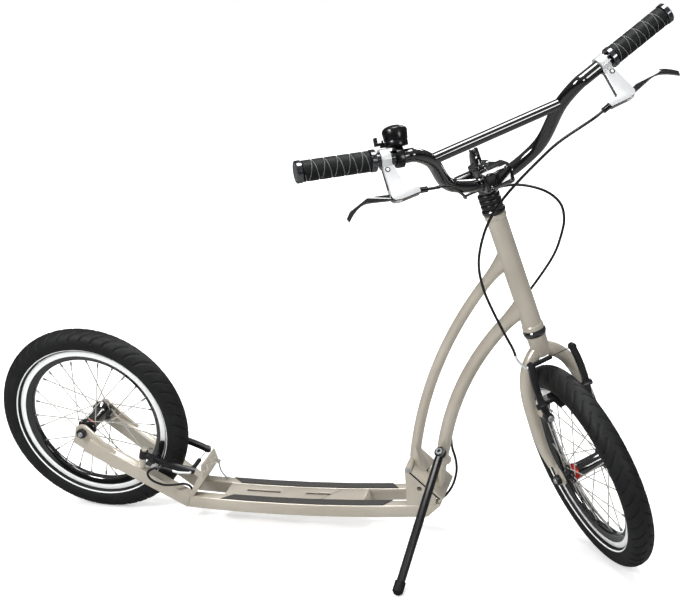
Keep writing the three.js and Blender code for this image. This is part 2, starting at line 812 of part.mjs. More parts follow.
function rearBridge() {
  const bendZ = bridgeFootZ + bridgeBendRise;
  const topZ = bridgeFootZ + bridgeHeight;
  const shape = polygon([
    [bridgeFootX, bridgeFootZ],
    [bridgeFootX + bridgeThickness * 1.3, deckTopZ(bridgeFootX + bridgeThickness * 1.3) + seatGap],
    [bridgeFaceX + bridgeThickness, bendZ],
    [bridgeFaceX + bridgeThickness * 0.5, topZ],
    [bridgeFaceX - bridgeThickness * 0.5, topZ],
    [bridgeFaceX, bendZ + bridgeThickness * 0.4],
  ]);
  const plate = slab(shape, -deckHalf, deckHalf);
  const tools = [];
  const holeZ = (bendZ + topZ) / 2;
  const faceLow = bridgeFaceX - bridgeThickness * 2;
  const faceHigh = bridgeFaceX + bridgeThickness * 3;
  for (const side of [-1, 1]) {
    const holeY = (side * bridgeHoleSpacing) / 2;
    tools.push(rod(vec(faceLow, holeY, holeZ), vec(faceHigh, holeY, holeZ), bridgeHoleRadius, 12));
    const slotY = (side * bridgeSlotSpacing) / 2;
    tools.push(block(faceLow, faceHigh, slotY - bridgeSlotWidth / 2, slotY + bridgeSlotWidth / 2,
      holeZ - bridgeSlotLength / 2, holeZ + bridgeSlotLength / 2));
    const cornerY = side * (deckHalf + cutOverrun);
    const slopeY = side * (bridgeTopWidth / 2);
    const corner = loft([faceLow, faceHigh].map((x) => [
      vec(x, cornerY, bendZ),
      vec(x, cornerY, topZ + cutOverrun),
      vec(x, slopeY, topZ + cutOverrun),
    ]));
    tools.push(corner);
  }
  const gussets = [-1, 1].map((side) => {
    const outer = side * deckHalf;
    const low = Math.min(outer, outer - side * gussetThickness);
    const foot = deckRearX + seatGap * 4;
    const wing = new THREE.Shape();
    wing.moveTo(bridgeFootX + bridgeThickness, deckTopZ(bridgeFootX) + seatGap);
    wing.lineTo(bridgeFaceX + bridgeThickness * 0.6, bendZ);
    wing.lineTo(bridgeFaceX, topZ - bridgeHeight * 0.25);
    wing.quadraticCurveTo(foot + gussetLength * 0.5, bendZ, foot, bridgeFootZ);
    wing.closePath();
    return slab(wing, low, low + gussetThickness, 6);
  });
  return join(cut(plate, ...tools), ...gussets);
}

// Wire catch: it hangs from the bridge plate's left edge and rests on the left tube
const wirePivot = vec(bridgeFaceX + bridgeThickness * 1.5 + wireEyeRadius, deckHalf - tubeWidth / 2,
  bridgeFootZ + bridgeHeight * 0.6);

function wireCatch() {
  const eye = rod(offset(wirePivot, yAxis, -wireEyeRadius), offset(wirePivot, yAxis, wireEyeRadius), wireEyeRadius, 10);
  const foot = offset(wirePivot, heading(-72), wireReach - wireTipRadius * 2);
  const bend = offset(wirePivot, heading(-84), wireReach * 0.5);
  const wire = pipe([wirePivot, bend, foot], wireRadius, 6, 6);
  const tip = rod(offset(foot, xAxis, -wireTipLength * 0.3), offset(foot, xAxis, wireTipLength * 0.7), wireTipRadius, 8);
  const bore = rod(offset(wirePivot, yAxis, -wireReach), offset(wirePivot, yAxis, wireReach), bored(wireRadius, 8), 8);
  return cut(join(eye, wire, tip), bore);
}

function wirePin() {
  const start = vec(wirePivot.x, wirePivot.y - wireEyeRadius * 2, wirePivot.z);
  const end = vec(wirePivot.x, wirePivot.y + wireEyeRadius * 2, wirePivot.z);
  const pin = rod(start, end, wireRadius, 6);
  const arms = [start, end].map((at) => {
    const back = vec(bridgeFaceX, at.y, at.z);
    return rod(back, offset(at, xAxis, wireRadius * 0.5), wireRadius, 6);
  });
  return join(pin, ...arms);
}

addPiece(scooter, 'left_deck_tube', deckTube(1), 'paint');
addPiece(scooter, 'right_deck_tube', deckTube(-1), 'paint');
addPiece(scooter, 'left_stay', stay(1), 'paint');
addPiece(scooter, 'right_stay', stay(-1), 'paint');
addPiece(scooter, 'deck_plate', deckPlate(), 'paint');
addPiece(scooter, 'left_grip_strip', gripStrip(1), 'gripTape');
addPiece(scooter, 'right_grip_strip', gripStrip(-1), 'gripTape');
addPiece(scooter, 'rear_bridge_plate', join(rearBridge(), wirePin()), 'paint');
addPiece(scooter, 'wire_catch', wireCatch(), 'silver');

const rearWheel = addGroup(scooter);
addWheel(rearWheel, 'rear', dropoutThickness);

// Rim brake pair, drawn in its own frame
function brakeFrame(parent, axle, angle, plane) {
  const frame = addFrame(parent, axle, heading(angle), yAxis);
  return addGroup(frame, vec(0, 0, plane));
}

function brakeArm(side, carriesNoodle) {
  const half = brakeArmWidth / 2;
  const pivotY = brakePivotSpread;
  const middleX = (brakePivotReach + brakeArmReach) / 2;
  const bowY = pivotY + brakeArmBow;
  const shape = new THREE.Shape();
  shape.moveTo(brakePivotReach, side * (pivotY - half));
  shape.quadraticCurveTo(middleX, side * (bowY - half + brakeArmBow), brakeArmReach, side * (pivotY - half));
  shape.lineTo(brakeArmReach, side * (pivotY + half));
  shape.quadraticCurveTo(middleX, side * (bowY + half + brakeArmBow), brakePivotReach, side * (pivotY + half));
  shape.closePath();
  const halfThick = brakeArmThickness / 2;
  const pivot = vec(brakePivotReach, side * pivotY, 0);
  const end = vec(brakeArmReach, side * pivotY, 0);
  const barrelHalf = brakeBarrelLength / 2;
  const padX = padCentreX();
  const bossFoot = vec(padX, side * (pivotY - half), 0);
  const body = join(
    sheet(shape, -halfThick, halfThick, 5),
    rod(offset(pivot, zAxis, -barrelHalf), offset(pivot, zAxis, barrelHalf), brakeBarrelRadius, 12),
    rod(offset(end, zAxis, -halfThick), offset(end, zAxis, halfThick), brakeEndRadius, 10),
    rod(bossFoot, offset(bossFoot, yAxis, side * (brakeArmWidth + brakeArmBow + padNutThickness)), padNutRadius, 6),
  );
  const postBore = rod(offset(pivot, zAxis, -brakeBarrelLength), offset(pivot, zAxis, brakeBarrelLength),
    bored(brakePostRadius, 10), 10);
  const drilled = cut(body, postBore);
  if (carriesNoodle) {
    const reach = brakeEndRadius + cutOverrun;
    const bore = rod(offset(end, yAxis, -reach), offset(end, yAxis, reach), bored(noodleRadius, 8), 8);
    return cut(drilled, bore);
  }
  const wire = rod(end, offset(end, yAxis, -side * wireLength), cableWireRadius, 5);
  return join(drilled, wire);
}

function padCentreX() {
  return rimRadius - brakeTrackHeight / 2;
}

function brakePad(side, plane) {
  const low = rimWidth / 2 + padRimGap;
  const high = low + padThickness;
  const middle = padCentreX();
  const centre = Math.asin(plane / middle);
  const span = radians(padArc) / 2;
  const shape = new THREE.Shape();
  shape.absarc(0, 0, middle + padHeight / 2, centre - span, centre + span, false);
  shape.absarc(0, 0, middle - padHeight / 2, centre + span, centre - span, true);
  shape.closePath();
  const rubber = side > 0 ? slab(shape, low, high, 4) : slab(shape, -high, -low, 4);
  rubber.translate(0, 0, -plane);
  const studX = padStudX(plane);
  const armFace = brakePivotSpread - brakeArmWidth / 2 - seatGap;
  const stud = rod(vec(studX, side * (high - weldDepth), 0), vec(studX, side * armFace, 0), padStudRadius, 8);
  return join(rubber, stud);
}

function padStudX(plane) {
  return Math.sqrt(padCentreX() ** 2 - plane ** 2);
}

// Bent metal tube that leads the cable into the right arm, with the rubber boot inside the arms
function brakeNoodle(bendSide) {
  const endY = -brakePivotSpread;
  const outer = brakePivotSpread / 2;
  const points = [
    vec(brakeArmReach, endY + brakeEndRadius + weldDepth, 0),
    vec(brakeArmReach, endY, 0),
    vec(brakeArmReach, endY - brakeEndRadius, 0),
    vec(brakeArmReach, endY - brakeEndRadius - noodleRadius, 0),
    vec(brakeArmReach + bendSide * outer * 0.25, endY - outer * 0.6, 0),
    vec(brakeArmReach + bendSide * outer, endY - outer * 0.95, 0),
    vec(brakeArmReach + bendSide * outer * 1.5, endY - outer, 0),
  ];
  const tube = pipe(points, noodleRadius, 6, 9);
  const bootFoot = vec(brakeArmReach, endY + brakeEndRadius + seatGap, 0);
  const bootWall = vec(brakeArmReach, bootFoot.y + weldDepth * 2, 0);
  const bootEnd = vec(brakeArmReach, bootFoot.y + bootLength, 0);
  const boot = rod(bootFoot, bootEnd, bootRadius, 8, bootRadius * 0.9);
  const bore = rod(bootWall, offset(bootEnd, yAxis, cutOverrun), bootBore, 8);
  return join(tube, cut(boot, bore));
}

function addBrake(armGroup, prefix, plane, bendSide) {
  addPiece(armGroup, `${prefix}_left_brake_arm`, brakeArm(1, false), 'blackMetal');
  addPiece(armGroup, `${prefix}_right_brake_arm`, brakeArm(-1, true), 'blackMetal');
  addPiece(armGroup, `${prefix}_left_brake_pad`, brakePad(1, plane), 'rubber');
  addPiece(armGroup, `${prefix}_right_brake_pad`, brakePad(-1, plane), 'rubber');
  addPiece(armGroup, `${prefix}_brake_noodle`, brakeNoodle(bendSide), 'silver');
}

addBrake(brakeFrame(scooter, vec(0, 0, 0), rearBrakeAngle, rearBrakePlane), 'rear', rearBrakePlane, -1);

// Fold hinge. Its own frame has the pin at the origin, x down along the seam and z out of the
// seam towards the column
const hinge = addGroup(scooter, vec(hingeX, 0, hingeZ));
hinge.rotation.y = radians(hingeAngle);
hinge.updateMatrix();
const knuckleClear = knuckleRadius + runningGap;
const middleKnuckleHalf = deckHalf - knuckleLength - runningGap;
const plateTop = hingePlateThickness + seatGap / 2;

function yRod(x, z, lowY, highY, radius, sides) {
  return rod(vec(x, lowY, z), vec(x, highY, z), radius, sides);
}

function knuckle(lowY, highY) {
  return yRod(0, 0, lowY, highY, knuckleRadius, 12);
}

function pinBore() {
  return yRod(0, 0, -deckWidth, deckWidth, bored(hingePinRadius, 10), 10);
}

function latchSlot() {
  const half = latchSlotWidth / 2;
  return block(latchPlace - latchSlotBack, latchPlace + latchSlotFront, -half, half, -plateTop * 2, plateTop * 2);
}

// Lower half: a slanted plate on two side cheeks and a rear wall that stand on the deck tubes
function hingeBase() {
  const plate = block(0, hingeLength, -deckHalf, deckHalf, -plateTop, -seatGap / 2);
  const notch = block(-knuckleRadius * 2, knuckleClear, -(middleKnuckleHalf + runningGap), middleKnuckleHalf + runningGap,
    -knuckleClear, knuckleClear);
  const slot = latchSlot();
  const parts = [cut(plate, notch, slot), knuckle(-deckHalf, middleKnuckleHalf * -1 - runningGap),
    knuckle(middleKnuckleHalf + runningGap, deckHalf)];
  const inverse = hinge.matrix.clone().invert();
  const rearX = hingeX - knuckleRadius;
  const frontTop = vec(hingeLength - hingeLip, 0, -hingePlateThickness).applyMatrix4(hinge.matrix);
  const rearTop = hingeZ - knuckleRadius * 0.5;
  const steps = 4;
  const outline = [[rearX, rearTop], [hingeX, hingeZ - hingePlateThickness], [frontTop.x, frontTop.z]];
  for (let i = 0; i <= steps; i += 1) {
    const x = frontTop.x + ((rearX - frontTop.x) * i) / steps;
    outline.push([x, deckTopZ(x) + seatGap]);
  }
  for (const side of [-1, 1]) {
    const low = side > 0 ? deckHalf - hingeCheekThickness : -deckHalf;
    const cheek = slab(polygon(outline), low, low + hingeCheekThickness);
    const holeX = hingeX + hingeLength * 0.24;
    const holeZ = hingeZ - hingeLength * 0.48;
    const hole = yRod(holeX, holeZ, low - cutOverrun, low + hingeCheekThickness + cutOverrun, hingeCheekHole, 12);
    parts.push(cut(cheek, hole).applyMatrix4(inverse));
  }
  const wall = block(rearX, rearX + hingeCheekThickness, -deckHalf + weldDepth, deckHalf - weldDepth,
    deckTopZ(rearX + hingeCheekThickness * 2) + seatGap, hingeZ - knuckleRadius * 1.6);
  parts.push(wall.applyMatrix4(inverse));
  const body = cut(join(...parts), pinBore());
  const swing = yRod(0, 0, -(middleKnuckleHalf + runningGap), middleKnuckleHalf + runningGap, knuckleClear, 12);
  return cut(body, swing);
}

// Upper half: the column's foot plate with a lip over the front edge, a middle knuckle and the
// two lobes that carry the latch
function hingePlate() {
  const lipHigh = hingeLength + runningGap + hingePlateThickness;
  const plate = block(0, lipHigh, -deckHalf, deckHalf, seatGap / 2, plateTop);
  const lip = block(hingeLength + runningGap, lipHigh, -deckHalf, deckHalf, -hingeLip, plateTop);
  const rearLow = -knuckleRadius * 2;
  const tools = [-1, 1].map((side) => {
    const low = side > 0 ? middleKnuckleHalf : -deckHalf - cutOverrun;
    return block(rearLow, knuckleClear, low, low + knuckleLength + runningGap + cutOverrun, -knuckleClear, knuckleClear);
  });
  const slotHalf = latchSlotWidth / 2;
  const body = cut(join(plate, lip), ...tools, latchSlot());
  const lobeX = latchPlace;
  const lobes = [-1, 1].map((side) => {
    const low = side > 0 ? slotHalf : -slotHalf - lobeThickness;
    const shape = new THREE.Shape();
    shape.moveTo(lobeX - lobeRadius, seatGap);
    shape.absarc(lobeX, lobeRise, lobeRadius, Math.PI, 0, true);
    shape.lineTo(lobeX + lobeRadius, seatGap);
    shape.closePath();
    return slab(shape, low, low + lobeThickness, 8);
  });
  const pin = yRod(lobeX, lobeRise, -slotHalf - lobeThickness * 0.5, slotHalf + lobeThickness * 0.5, latchPinRadius, 8);
  return cut(join(body, knuckle(-middleKnuckleHalf, middleKnuckleHalf), ...lobes, pin), pinBore());
}

function hingePin() {
  const end = deckHalf + runningGap;
  return join(
    yRod(0, 0, -end - hingePinHead * 0.5, end + hingePinHead * 0.5, hingePinRadius, 10),
    yRod(0, 0, -end - hingePinHead, -end, knuckleRadius * 0.8, 8),
    yRod(0, 0, end, end + hingePinHead, knuckleRadius * 0.8, 8),
  );
}

// Latch between the lobes: its tongue drops through both plates and a thumb tab stands above
function latchLever() {
  const half = latchWidth / 2;
  const low = -(plateTop + latchHookDepth);
  const wide = latchEyeRadius * 0.8;
  const tab = latchThumbLength;
  const outline = polygon([
    [latchPlace - wide, lobeRise],
    [latchPlace - tab * 0.5, lobeRise + tab * 0.25],
    [latchPlace - tab * 0.42, lobeRise + tab * 0.42],
    [latchPlace + tab * 0.2, lobeRise + tab * 0.5],
    [latchPlace + tab * 0.4, lobeRise + tab * 0.32],
    [latchPlace + wide, lobeRise],
    [latchPlace + wide, low + latchHookDepth * 0.4],
    [latchPlace + wide * 0.4, low],
    [latchPlace - wide, low],
  ]);
  const body = join(slab(outline, -half, half), yRod(latchPlace, lobeRise, -half, half, latchEyeRadius, 10));
  return cut(body, yRod(latchPlace, lobeRise, -latchWidth, latchWidth, bored(latchPinRadius, 8), 8));
}

addPiece(hinge, 'hinge_base', hingeBase(), 'paint');
addPiece(hinge, 'hinge_plate', hingePlate(), 'paint');
addPiece(hinge, 'hinge_pin', hingePin(), 'silver');
addPiece(hinge, 'latch_lever', latchLever(), 'silver');

// Column tubes in the scooter's frame, cut by the hinge plate below and by the head tube above
const head = addGroup(scooter, vec(headAxisX, 0, 0));
head.rotation.y = -radians(headAngle);
head.updateMatrix();

// An arc in the middle plane, bowed to the rear between a place on the hinge seam and a height
// on the steering axis
function columnArc(footPlace, topHeight, radius) {
  const foot = vec(footPlace, 0, 0).applyMatrix4(hinge.matrix);
  const top = vec(0, 0, topHeight).applyMatrix4(head.matrix);
  const chord = top.clone().sub(foot);
  const forward = vec(chord.z, 0, -chord.x).normalize();
  const middle = offset(foot, chord, 0.5);
  return { centre: offset(middle, forward, Math.sqrt(radius ** 2 - chord.lengthSq() / 4)), radius };
}

function arcPoint(arc, degrees) {
  const { centre, radius } = arc;
  return vec(centre.x - radius * Math.cos(radians(degrees)), 0, centre.z + radius * Math.sin(radians(degrees)));
}

const rearArc = columnArc(rearArcFoot, rearArcTop, rearArcRadius);
const frontArc = columnArc(frontArcFoot, frontArcTop, frontArcRadius);

function belowPlate() {
  const low = block(-hingeLength, hingeLength * 2, -deckWidth, deckWidth, -hingeLength * 2, plateTop + seatGap);
  return low.applyMatrix4(hinge.matrix);
}

function headTubeTool() {
  const tool = rod(vec(0, 0, headTubeLow - cutOverrun), vec(0, 0, headTubeHigh + cutOverrun),
    bored(headTubeRadius, smallSegments), smallSegments);
  return tool.applyMatrix4(head.matrix);
}

function beyondHeadTube() {
  const far = block(0, headTubeRadius * 6, -deckWidth, deckWidth, headTubeLow - deckWidth, headTubeHigh + deckWidth);
  return far.applyMatrix4(head.matrix);
}

function columnTube(arc, depthAt, breadthAt) {
  const steps = 12;
  const lowDegrees = arcAtSeam(arc);
  const highDegrees = arcAtHead(arc);
  const stations = [];
  for (let i = 0; i <= steps; i += 1) {
    const share = i / steps;
    const at = arcPoint(arc, lowDegrees + (highDegrees - lowDegrees) * share);
    stations.push({ at, halfAcross: breadthAt(share) / 2, halfUp: depthAt(share) / 2 });
  }
  const tube = sweepOval(stations, yAxis, columnSides);
  const knuckleTool = yRod(0, 0, -deckHalf, deckHalf, knuckleClear, 12).applyMatrix4(hinge.matrix);
  return cut(tube, belowPlate(), knuckleTool, headTubeTool(), beyondHeadTube());
}

// The angle on an arc at which it crosses the head tube's axis
function arcAtHead(arc) {
  let degrees = 0;
  const inverse = head.matrix.clone().invert();
  while (arcPoint(arc, degrees).applyMatrix4(inverse).x < 0) degrees += 0.25;
  return degrees;
}

function arcAtSeam(arc) {
  let degrees = arcAtHead(arc);
  const inverse = hinge.matrix.clone().invert();
  while (arcPoint(arc, degrees).applyMatrix4(inverse).z > 0) degrees -= 0.25;
  return degrees;
}

function flared(depth, share) {
  const flareShare = 0.86;
  if (share < flareShare) return depth;
  const rise = (share - flareShare) / (1 - flareShare);
  return depth + (tubeFlareDepth - depth) * rise * rise;
}

function rearColumnTube() {
  const tube = columnTube(rearArc, (share) => flared(rearTubeDepth, share), () => rearTubeBreadth);
  const half = gussetWidth / 2;
  const gusset = slab(polygon([
    [knuckleClear, plateTop + seatGap],
    [-rearTubeDepth, rearTubeBreadth],
    [-rearTubeDepth, rearTubeBreadth + rearTubeDepth / 2],
    [rearTubeDepth * 0.6, rearTubeBreadth / 2],
    [hingeLength * 0.36, plateTop + seatGap],
  ]), -half, half);
  const trimmed = cut(gusset, yRod(0, 0, -deckHalf, deckHalf, knuckleClear, 12));
  return join(tube, trimmed.applyMatrix4(hinge.matrix));
}

const standDown = vec(...standDownShares).normalize();
const standStow = vec(...standStowShares).normalize();
const standAxis = standDown.clone().cross(standStow).normalize();

function standPivot() {
  const { centre, radius } = frontArc;
  const x = centre.x - Math.sqrt(radius ** 2 - (standPivotZ - centre.z) ** 2);
  return vec(x, -standPivotSide, standPivotZ);
}

function frontColumnTube() {
  const footShare = 0.2;
  const depthAt = (share) => {
    if (share < footShare) return frontTubeFootDepth + ((frontTubeDepth - frontTubeFootDepth) * share) / footShare;
    return flared(frontTubeDepth, share);
  };
  const tube = columnTube(frontArc, depthAt, () => frontTubeBreadth);
  const pivot = standPivot();
  const lugTop = offset(pivot, standAxis, standEyeThickness / 2 + seatGap);
  const lug = rod(lugTop, offset(pivot, standAxis, standPivotSide), standLugRadius, 12);
  const bolt = rod(offset(lugTop, standAxis, cutOverrun), offset(pivot, standAxis, -(standEyeThickness / 2 + runningGap)),
    standBoltRadius, 8);
  return join(tube, lug, bolt);
}

function headTube() {
  const bore = headTubeRadius - headTubeWall;
  const tube = turned([
    [bore, headTubeLow],
    [headRingRadius, headTubeLow],
    [headRingRadius, headTubeLow + headRingHeight],
    [headTubeRadius, headTubeLow + headRingHeight * 1.3],
    [headTubeRadius, headTubeHigh - headRingHeight * 1.3],
    [headRingRadius, headTubeHigh - headRingHeight],
    [headRingRadius, headTubeHigh],
    [bore, headTubeHigh],
    [bore, headTubeLow],
  ], vec(0, 0, 0), zAxis);
  return tube;
}

function headsetCup(low, high) {
  const wide = cupRadius;
  const narrow = cupRadius - headTubeWall;
  const bore = steererRadius + runningGap;
  return turned([
    [bore, low],
    [narrow, low],
    [wide, low + (high - low) * 0.3],
    [wide, high - (high - low) * 0.3],
    [narrow, high],
    [bore, high],
    [bore, low],
  ], vec(0, 0, 0), zAxis);
}

addPiece(scooter, 'rear_column_tube', rearColumnTube(), 'paint');
addPiece(scooter, 'front_column_tube', frontColumnTube(), 'paint');
addPiece(head, 'head_tube', headTube(), 'paint');
addPiece(head, 'lower_headset_cup', headsetCup(headTubeLow - cupHeight, headTubeLow - seatGap), 'blackMetal');
addPiece(head, 'upper_headset_cup', headsetCup(headTubeHigh + seatGap, headTubeHigh + cupHeight), 'blackMetal');

// Kickstand, its eye on the lug's bolt and its leg out to the right
function standLeg() {
  const pivot = standPivot();
  const half = standEyeThickness / 2;
  const eye = rod(offset(pivot, standAxis, -half), offset(pivot, standAxis, half), standEyeRadius, 12);
  const foot = offset(pivot, standDown, standLegLength);
  const leg = rod(offset(pivot, standDown, standLugRadius + runningGap), foot, standLegRadius, 12);
  const neck = rod(offset(pivot, standDown, standBoltRadius * 2), offset(pivot, standDown, standLugRadius * 2), half, 8);
  const bore = rod(offset(pivot, standAxis, -standEyeRadius), offset(pivot, standAxis, standEyeRadius),
    bored(standBoltRadius, 8), 8);
  return cut(join(eye, neck, leg), bore);
}

function standFoot() {
  const foot = offset(standPivot(), standDown, standLegLength);
  const bore = bored(standLegRadius, 12);
  return turned([
    [0, standFootLength * 0.35],
    [standFootRadius * 0.55, standFootLength * 0.3],
    [standFootRadius, standFootLength * 0.12],
    [standFootRadius, -standFootLength * 0.65],
    [bore, -standFootLength * 0.65],
    [bore, seatGap],
    [0, seatGap],
  ], foot, standDown, 12);
}

function standBoltCap() {
  const low = offset(standPivot(), standAxis, -(standEyeThickness / 2 + runningGap + seatGap));
  return rod(low, offset(low, standAxis, -standBoltHead), standBoltHeadRadius, 10, standBoltHeadRadius * 0.8);
}

addPiece(scooter, 'kickstand_leg', standLeg(), 'blackMetal');
addPiece(scooter, 'kickstand_foot', standFoot(), 'rubber');
addPiece(scooter, 'kickstand_bolt', standBoltCap(), 'silver');

// Steering assembly: x forward, y left and z up the steering axis, turned to the rider's right
const steering = addGroup(head);
steering.rotation.z = radians(steerAngle);
const frontAxle = vec(forkRake, 0, frontAxleZ);

function spreadPoint(side, forwardShare, spreadShare, z) {
  return vec(forkRake * forwardShare, side * legSpread * spreadShare, z);
}

// One piece: steerer, crown, two bowed legs with their ends and the brake posts
function fork() {
  const span = crownMiddleZ - frontAxleZ;
  const parts = [
    turned([
      [0, crownMiddleZ - crownNeck],
      [crownNeck * 0.75, crownMiddleZ - crownNeck],
      [crownNeck, crownMiddleZ],
      [crownNeck, crownTop - weldDepth * 2],
      [crownNeck * 1.1, crownTop],
      [steererRadius, crownTop],
      [steererRadius, stemTop()],
      [0, stemTop()],
    ], vec(0, 0, 0), zAxis),
  ];
  for (const side of [-1, 1]) {
    const places = [
      [0, 0.12, 0.99, legTopRadius],
      [0, 0.46, 0.94, legTopRadius],
      [0, 0.69, 0.85, legMidRadius],
      [0.06, 0.87, 0.7, legMidRadius],
      [0.12, 0.96, 0.46, legMidRadius],
      [0.3, 1, 0.24, (legMidRadius + legEndRadius) / 2],
      [0.6, 0.96, 0.1, legEndRadius],
    ];
    const stations = places.map(([forwardShare, spreadShare, riseShare, radius]) => {
      const at = spreadPoint(side, forwardShare, spreadShare, frontAxleZ + span * riseShare);
      return { at, halfAcross: radius, halfUp: radius };
    });
    parts.push(sweepOval(stations, xAxis, legSides));
    const low = side > 0 ? halfLockNuts : -(halfLockNuts + forkEndThickness);
    const end = new THREE.Shape();
    end.absarc(0, 0, forkEndRadius, -Math.PI * 0.8, Math.PI * 0.3, false);
    end.lineTo(-forkRake * 0.45, forkEndRise);
    end.lineTo(-forkRake * 0.45 - legEndRadius, forkEndRise);
    end.closePath();
    end.holes.push(circleShape(0, 0, axleRadius + runningGap));
    parts.push(slab(end, low, low + forkEndThickness, 8).translate(frontAxle.x, 0, frontAxle.z));
    const out = heading(frontBrakeAngle);
    const pivot = offset(offset(frontAxle, out, brakePivotReach), yAxis, side * brakePivotSpread);
    pivot.x -= frontBrakePlane;
    parts.push(...brakePost(pivot, xAxis, pivot.x));
    const bridge = offset(pivot, xAxis, -pivot.x);
    parts.push(rod(bridge, vec(0, side * legSpread * 0.9, bridge.z), brakeCollarRadius, 10));
  }
  return join(...parts);
}

function spacerTop() {
  return headTubeHigh + cupHeight + seatGap + spacerCount * spacerHeight;
}

function stemTop() {
  return spacerTop() + stemCollarHeight + stemBodyHeight;
}

function headsetSpacers() {
  const bore = steererRadius + seatGap;
  const profile = [];
  const foot = headTubeHigh + cupHeight + seatGap;
  for (let i = 0; i < spacerCount; i += 1) {
    const low = foot + i * spacerHeight;
    profile.push([spacerWaist, low], [spacerRadius, low + spacerHeight * 0.25]);
    profile.push([spacerRadius, low + spacerHeight * 0.75], [spacerWaist, low + spacerHeight]);
  }
  const solid = [[bore, foot], ...profile.filter((p, i) => i === 0 || p[1] !== profile[i - 1][1]), [bore, spacerTop()]];
  return turned([...solid, solid[0]], vec(0, 0, 0), zAxis);
}

const barCentre = vec(stemReach, 0, spacerTop() + stemClampRise);

function barBore() {
  return yRod(barCentre.x, barCentre.z, -stemWidth, stemWidth, bored(barRadius, barSides), barSides);
}

// Stem: a clamp round the steerer, a neck to the handlebar clamp, a side barrel and a top post
function stem() {
  const low = spacerTop() + seatGap;
  const bodyLow = low + stemCollarHeight;
  const top = stemTop() + seatGap + weldDepth;
  const neck = stemNeckWidth / 2;
  const blockHalf = stemBlockHeight / 2;
  const back = barCentre.x - barRadius - faceplateThickness * 0.6;
  const body = turned([
    [0, low],
    [stemCollarRadius, low],
    [stemCollarRadius, bodyLow],
    [stemBodyRadius, bodyLow + weldDepth],
    [stemBodyRadius, top - weldDepth],
    [stemBodyRadius * 0.8, top],
    [postRadius, top + weldDepth],
    [postRadius, top + postHeight],
    [0, top + postHeight],
  ], vec(0, 0, 0), zAxis);
  const arm = loft([
    boxRing(vec(0, 0, barCentre.z - weldDepth), yAxis, zAxis, neck, blockHalf * 0.85),
    boxRing(vec(back + weldDepth, 0, barCentre.z), yAxis, zAxis, neck * 1.3, blockHalf * 0.95),
  ]);
  const clamp = block(back, barCentre.x - seatGap / 2, -stemWidth / 2, stemWidth / 2, barCentre.z - blockHalf,
    barCentre.z + blockHalf);
  const barrelFoot = vec(-stemBodyRadius * 0.6, -stemBodyRadius * 0.5, bodyLow + stemBodyHeight * 0.6);
  const barrel = rod(barrelFoot, offset(barrelFoot, yAxis, -(camLength + stemBodyRadius * 0.5)), camRadius, 12);
  const eyeZ = top + postHeight - quickEyeRadius;
  const slotHalf = quickLeverThickness / 2 + runningGap;
  const slot = block(-postRadius * 2, postRadius * 2, -slotHalf, slotHalf, eyeZ - quickEyeRadius - quickLeverWidth / 2,
    top + postHeight + cutOverrun);
  const pin = yRod(0, eyeZ, -postRadius * 0.8, postRadius * 0.8, quickPinRadius, 8);
  const steererBore = rod(vec(0, 0, low - cutOverrun), vec(0, 0, stemTop() + seatGap), bored(steererRadius, smallSegments),
    smallSegments);
  return join(cut(join(body, arm, clamp, barrel), steererBore, barBore(), slot), pin);
}

function stemFaceplate() {
  const blockHalf = stemBlockHeight / 2;
  const low = barCentre.x + seatGap / 2;
  const high = barCentre.x + barRadius + faceplateThickness - barRadius * 0.6;
  const corner = faceplateThickness * 0.4;
  const plate = slab(polygon([
    [low, barCentre.z - blockHalf],
    [high - corner, barCentre.z - blockHalf],
    [high, barCentre.z - blockHalf + corner],
    [high, barCentre.z + blockHalf - corner],
    [high - corner, barCentre.z + blockHalf],
    [low, barCentre.z + blockHalf],
  ]), -stemWidth / 2, stemWidth / 2);
  const bolts = [];
  for (const side of [-1, 1]) {
    for (const rise of [-1, 1]) {
      const foot = vec(high - corner, (side * clampBoltSpacing) / 2, barCentre.z + rise * (blockHalf - corner));
      bolts.push(rod(foot, offset(foot, xAxis, corner + clampBoltHead), clampBoltRadius, 6));
    }
  }
  return cut(join(plate, ...bolts), barBore());
}

// Quick release lever at the top of the post, curved back and down
function quickLever() {
  const top = stemTop() + seatGap + weldDepth;
  const eyeZ = top + postHeight - quickEyeRadius;
  const half = quickLeverThickness / 2;
  const width = quickLeverWidth / 2;
  const shape = new THREE.Shape();
  shape.moveTo(-quickEyeRadius * 0.4, eyeZ + width);
  shape.quadraticCurveTo(-quickLeverBack * 0.7, eyeZ + width, -quickLeverBack - width, eyeZ - quickLeverDrop);
  shape.lineTo(-quickLeverBack + width, eyeZ - quickLeverDrop);
  shape.quadraticCurveTo(-quickLeverBack * 0.6, eyeZ - quickLeverDrop * 0.3, -quickEyeRadius * 0.4, eyeZ - width);
  shape.closePath();
  const body = join(slab(shape, -half, half, 6), yRod(0, eyeZ, -half, half, quickEyeRadius, 10));
  return cut(body, yRod(0, eyeZ, -quickLeverThickness, quickLeverThickness, bored(quickPinRadius, 8), 8));
}

// Handlebar: two mirrored halves of one bent tube, written as shares of its reach, rise and half
// width, with a straight crossbar between the knees
const barHalfShares = [
  [0, 0, 0.085],
  [0, 0, 0.1],
  [0.2, 0.154, 0.255],
  [0.8, 0.556, 0.362],
  [1.04, 0.709, 0.451],
  [1.039, 0.725, 0.4815],
  [1, 1, 1],
];

function barPoint(side, shares) {
  const [forwardShare, riseShare, widthShare] = shares;
  return vec(barCentre.x + barForward * forwardShare, side * barHalfWidth * widthShare,
    barCentre.z + barRise * riseShare);
}

function straightStart(side) {
  return barPoint(side, barHalfShares[barHalfShares.length - 2]);
}

function barEnd(side) {
  return barPoint(side, barHalfShares[barHalfShares.length - 1]);
}

function barOut(side) {
  return barEnd(side).sub(straightStart(side)).normalize();
}

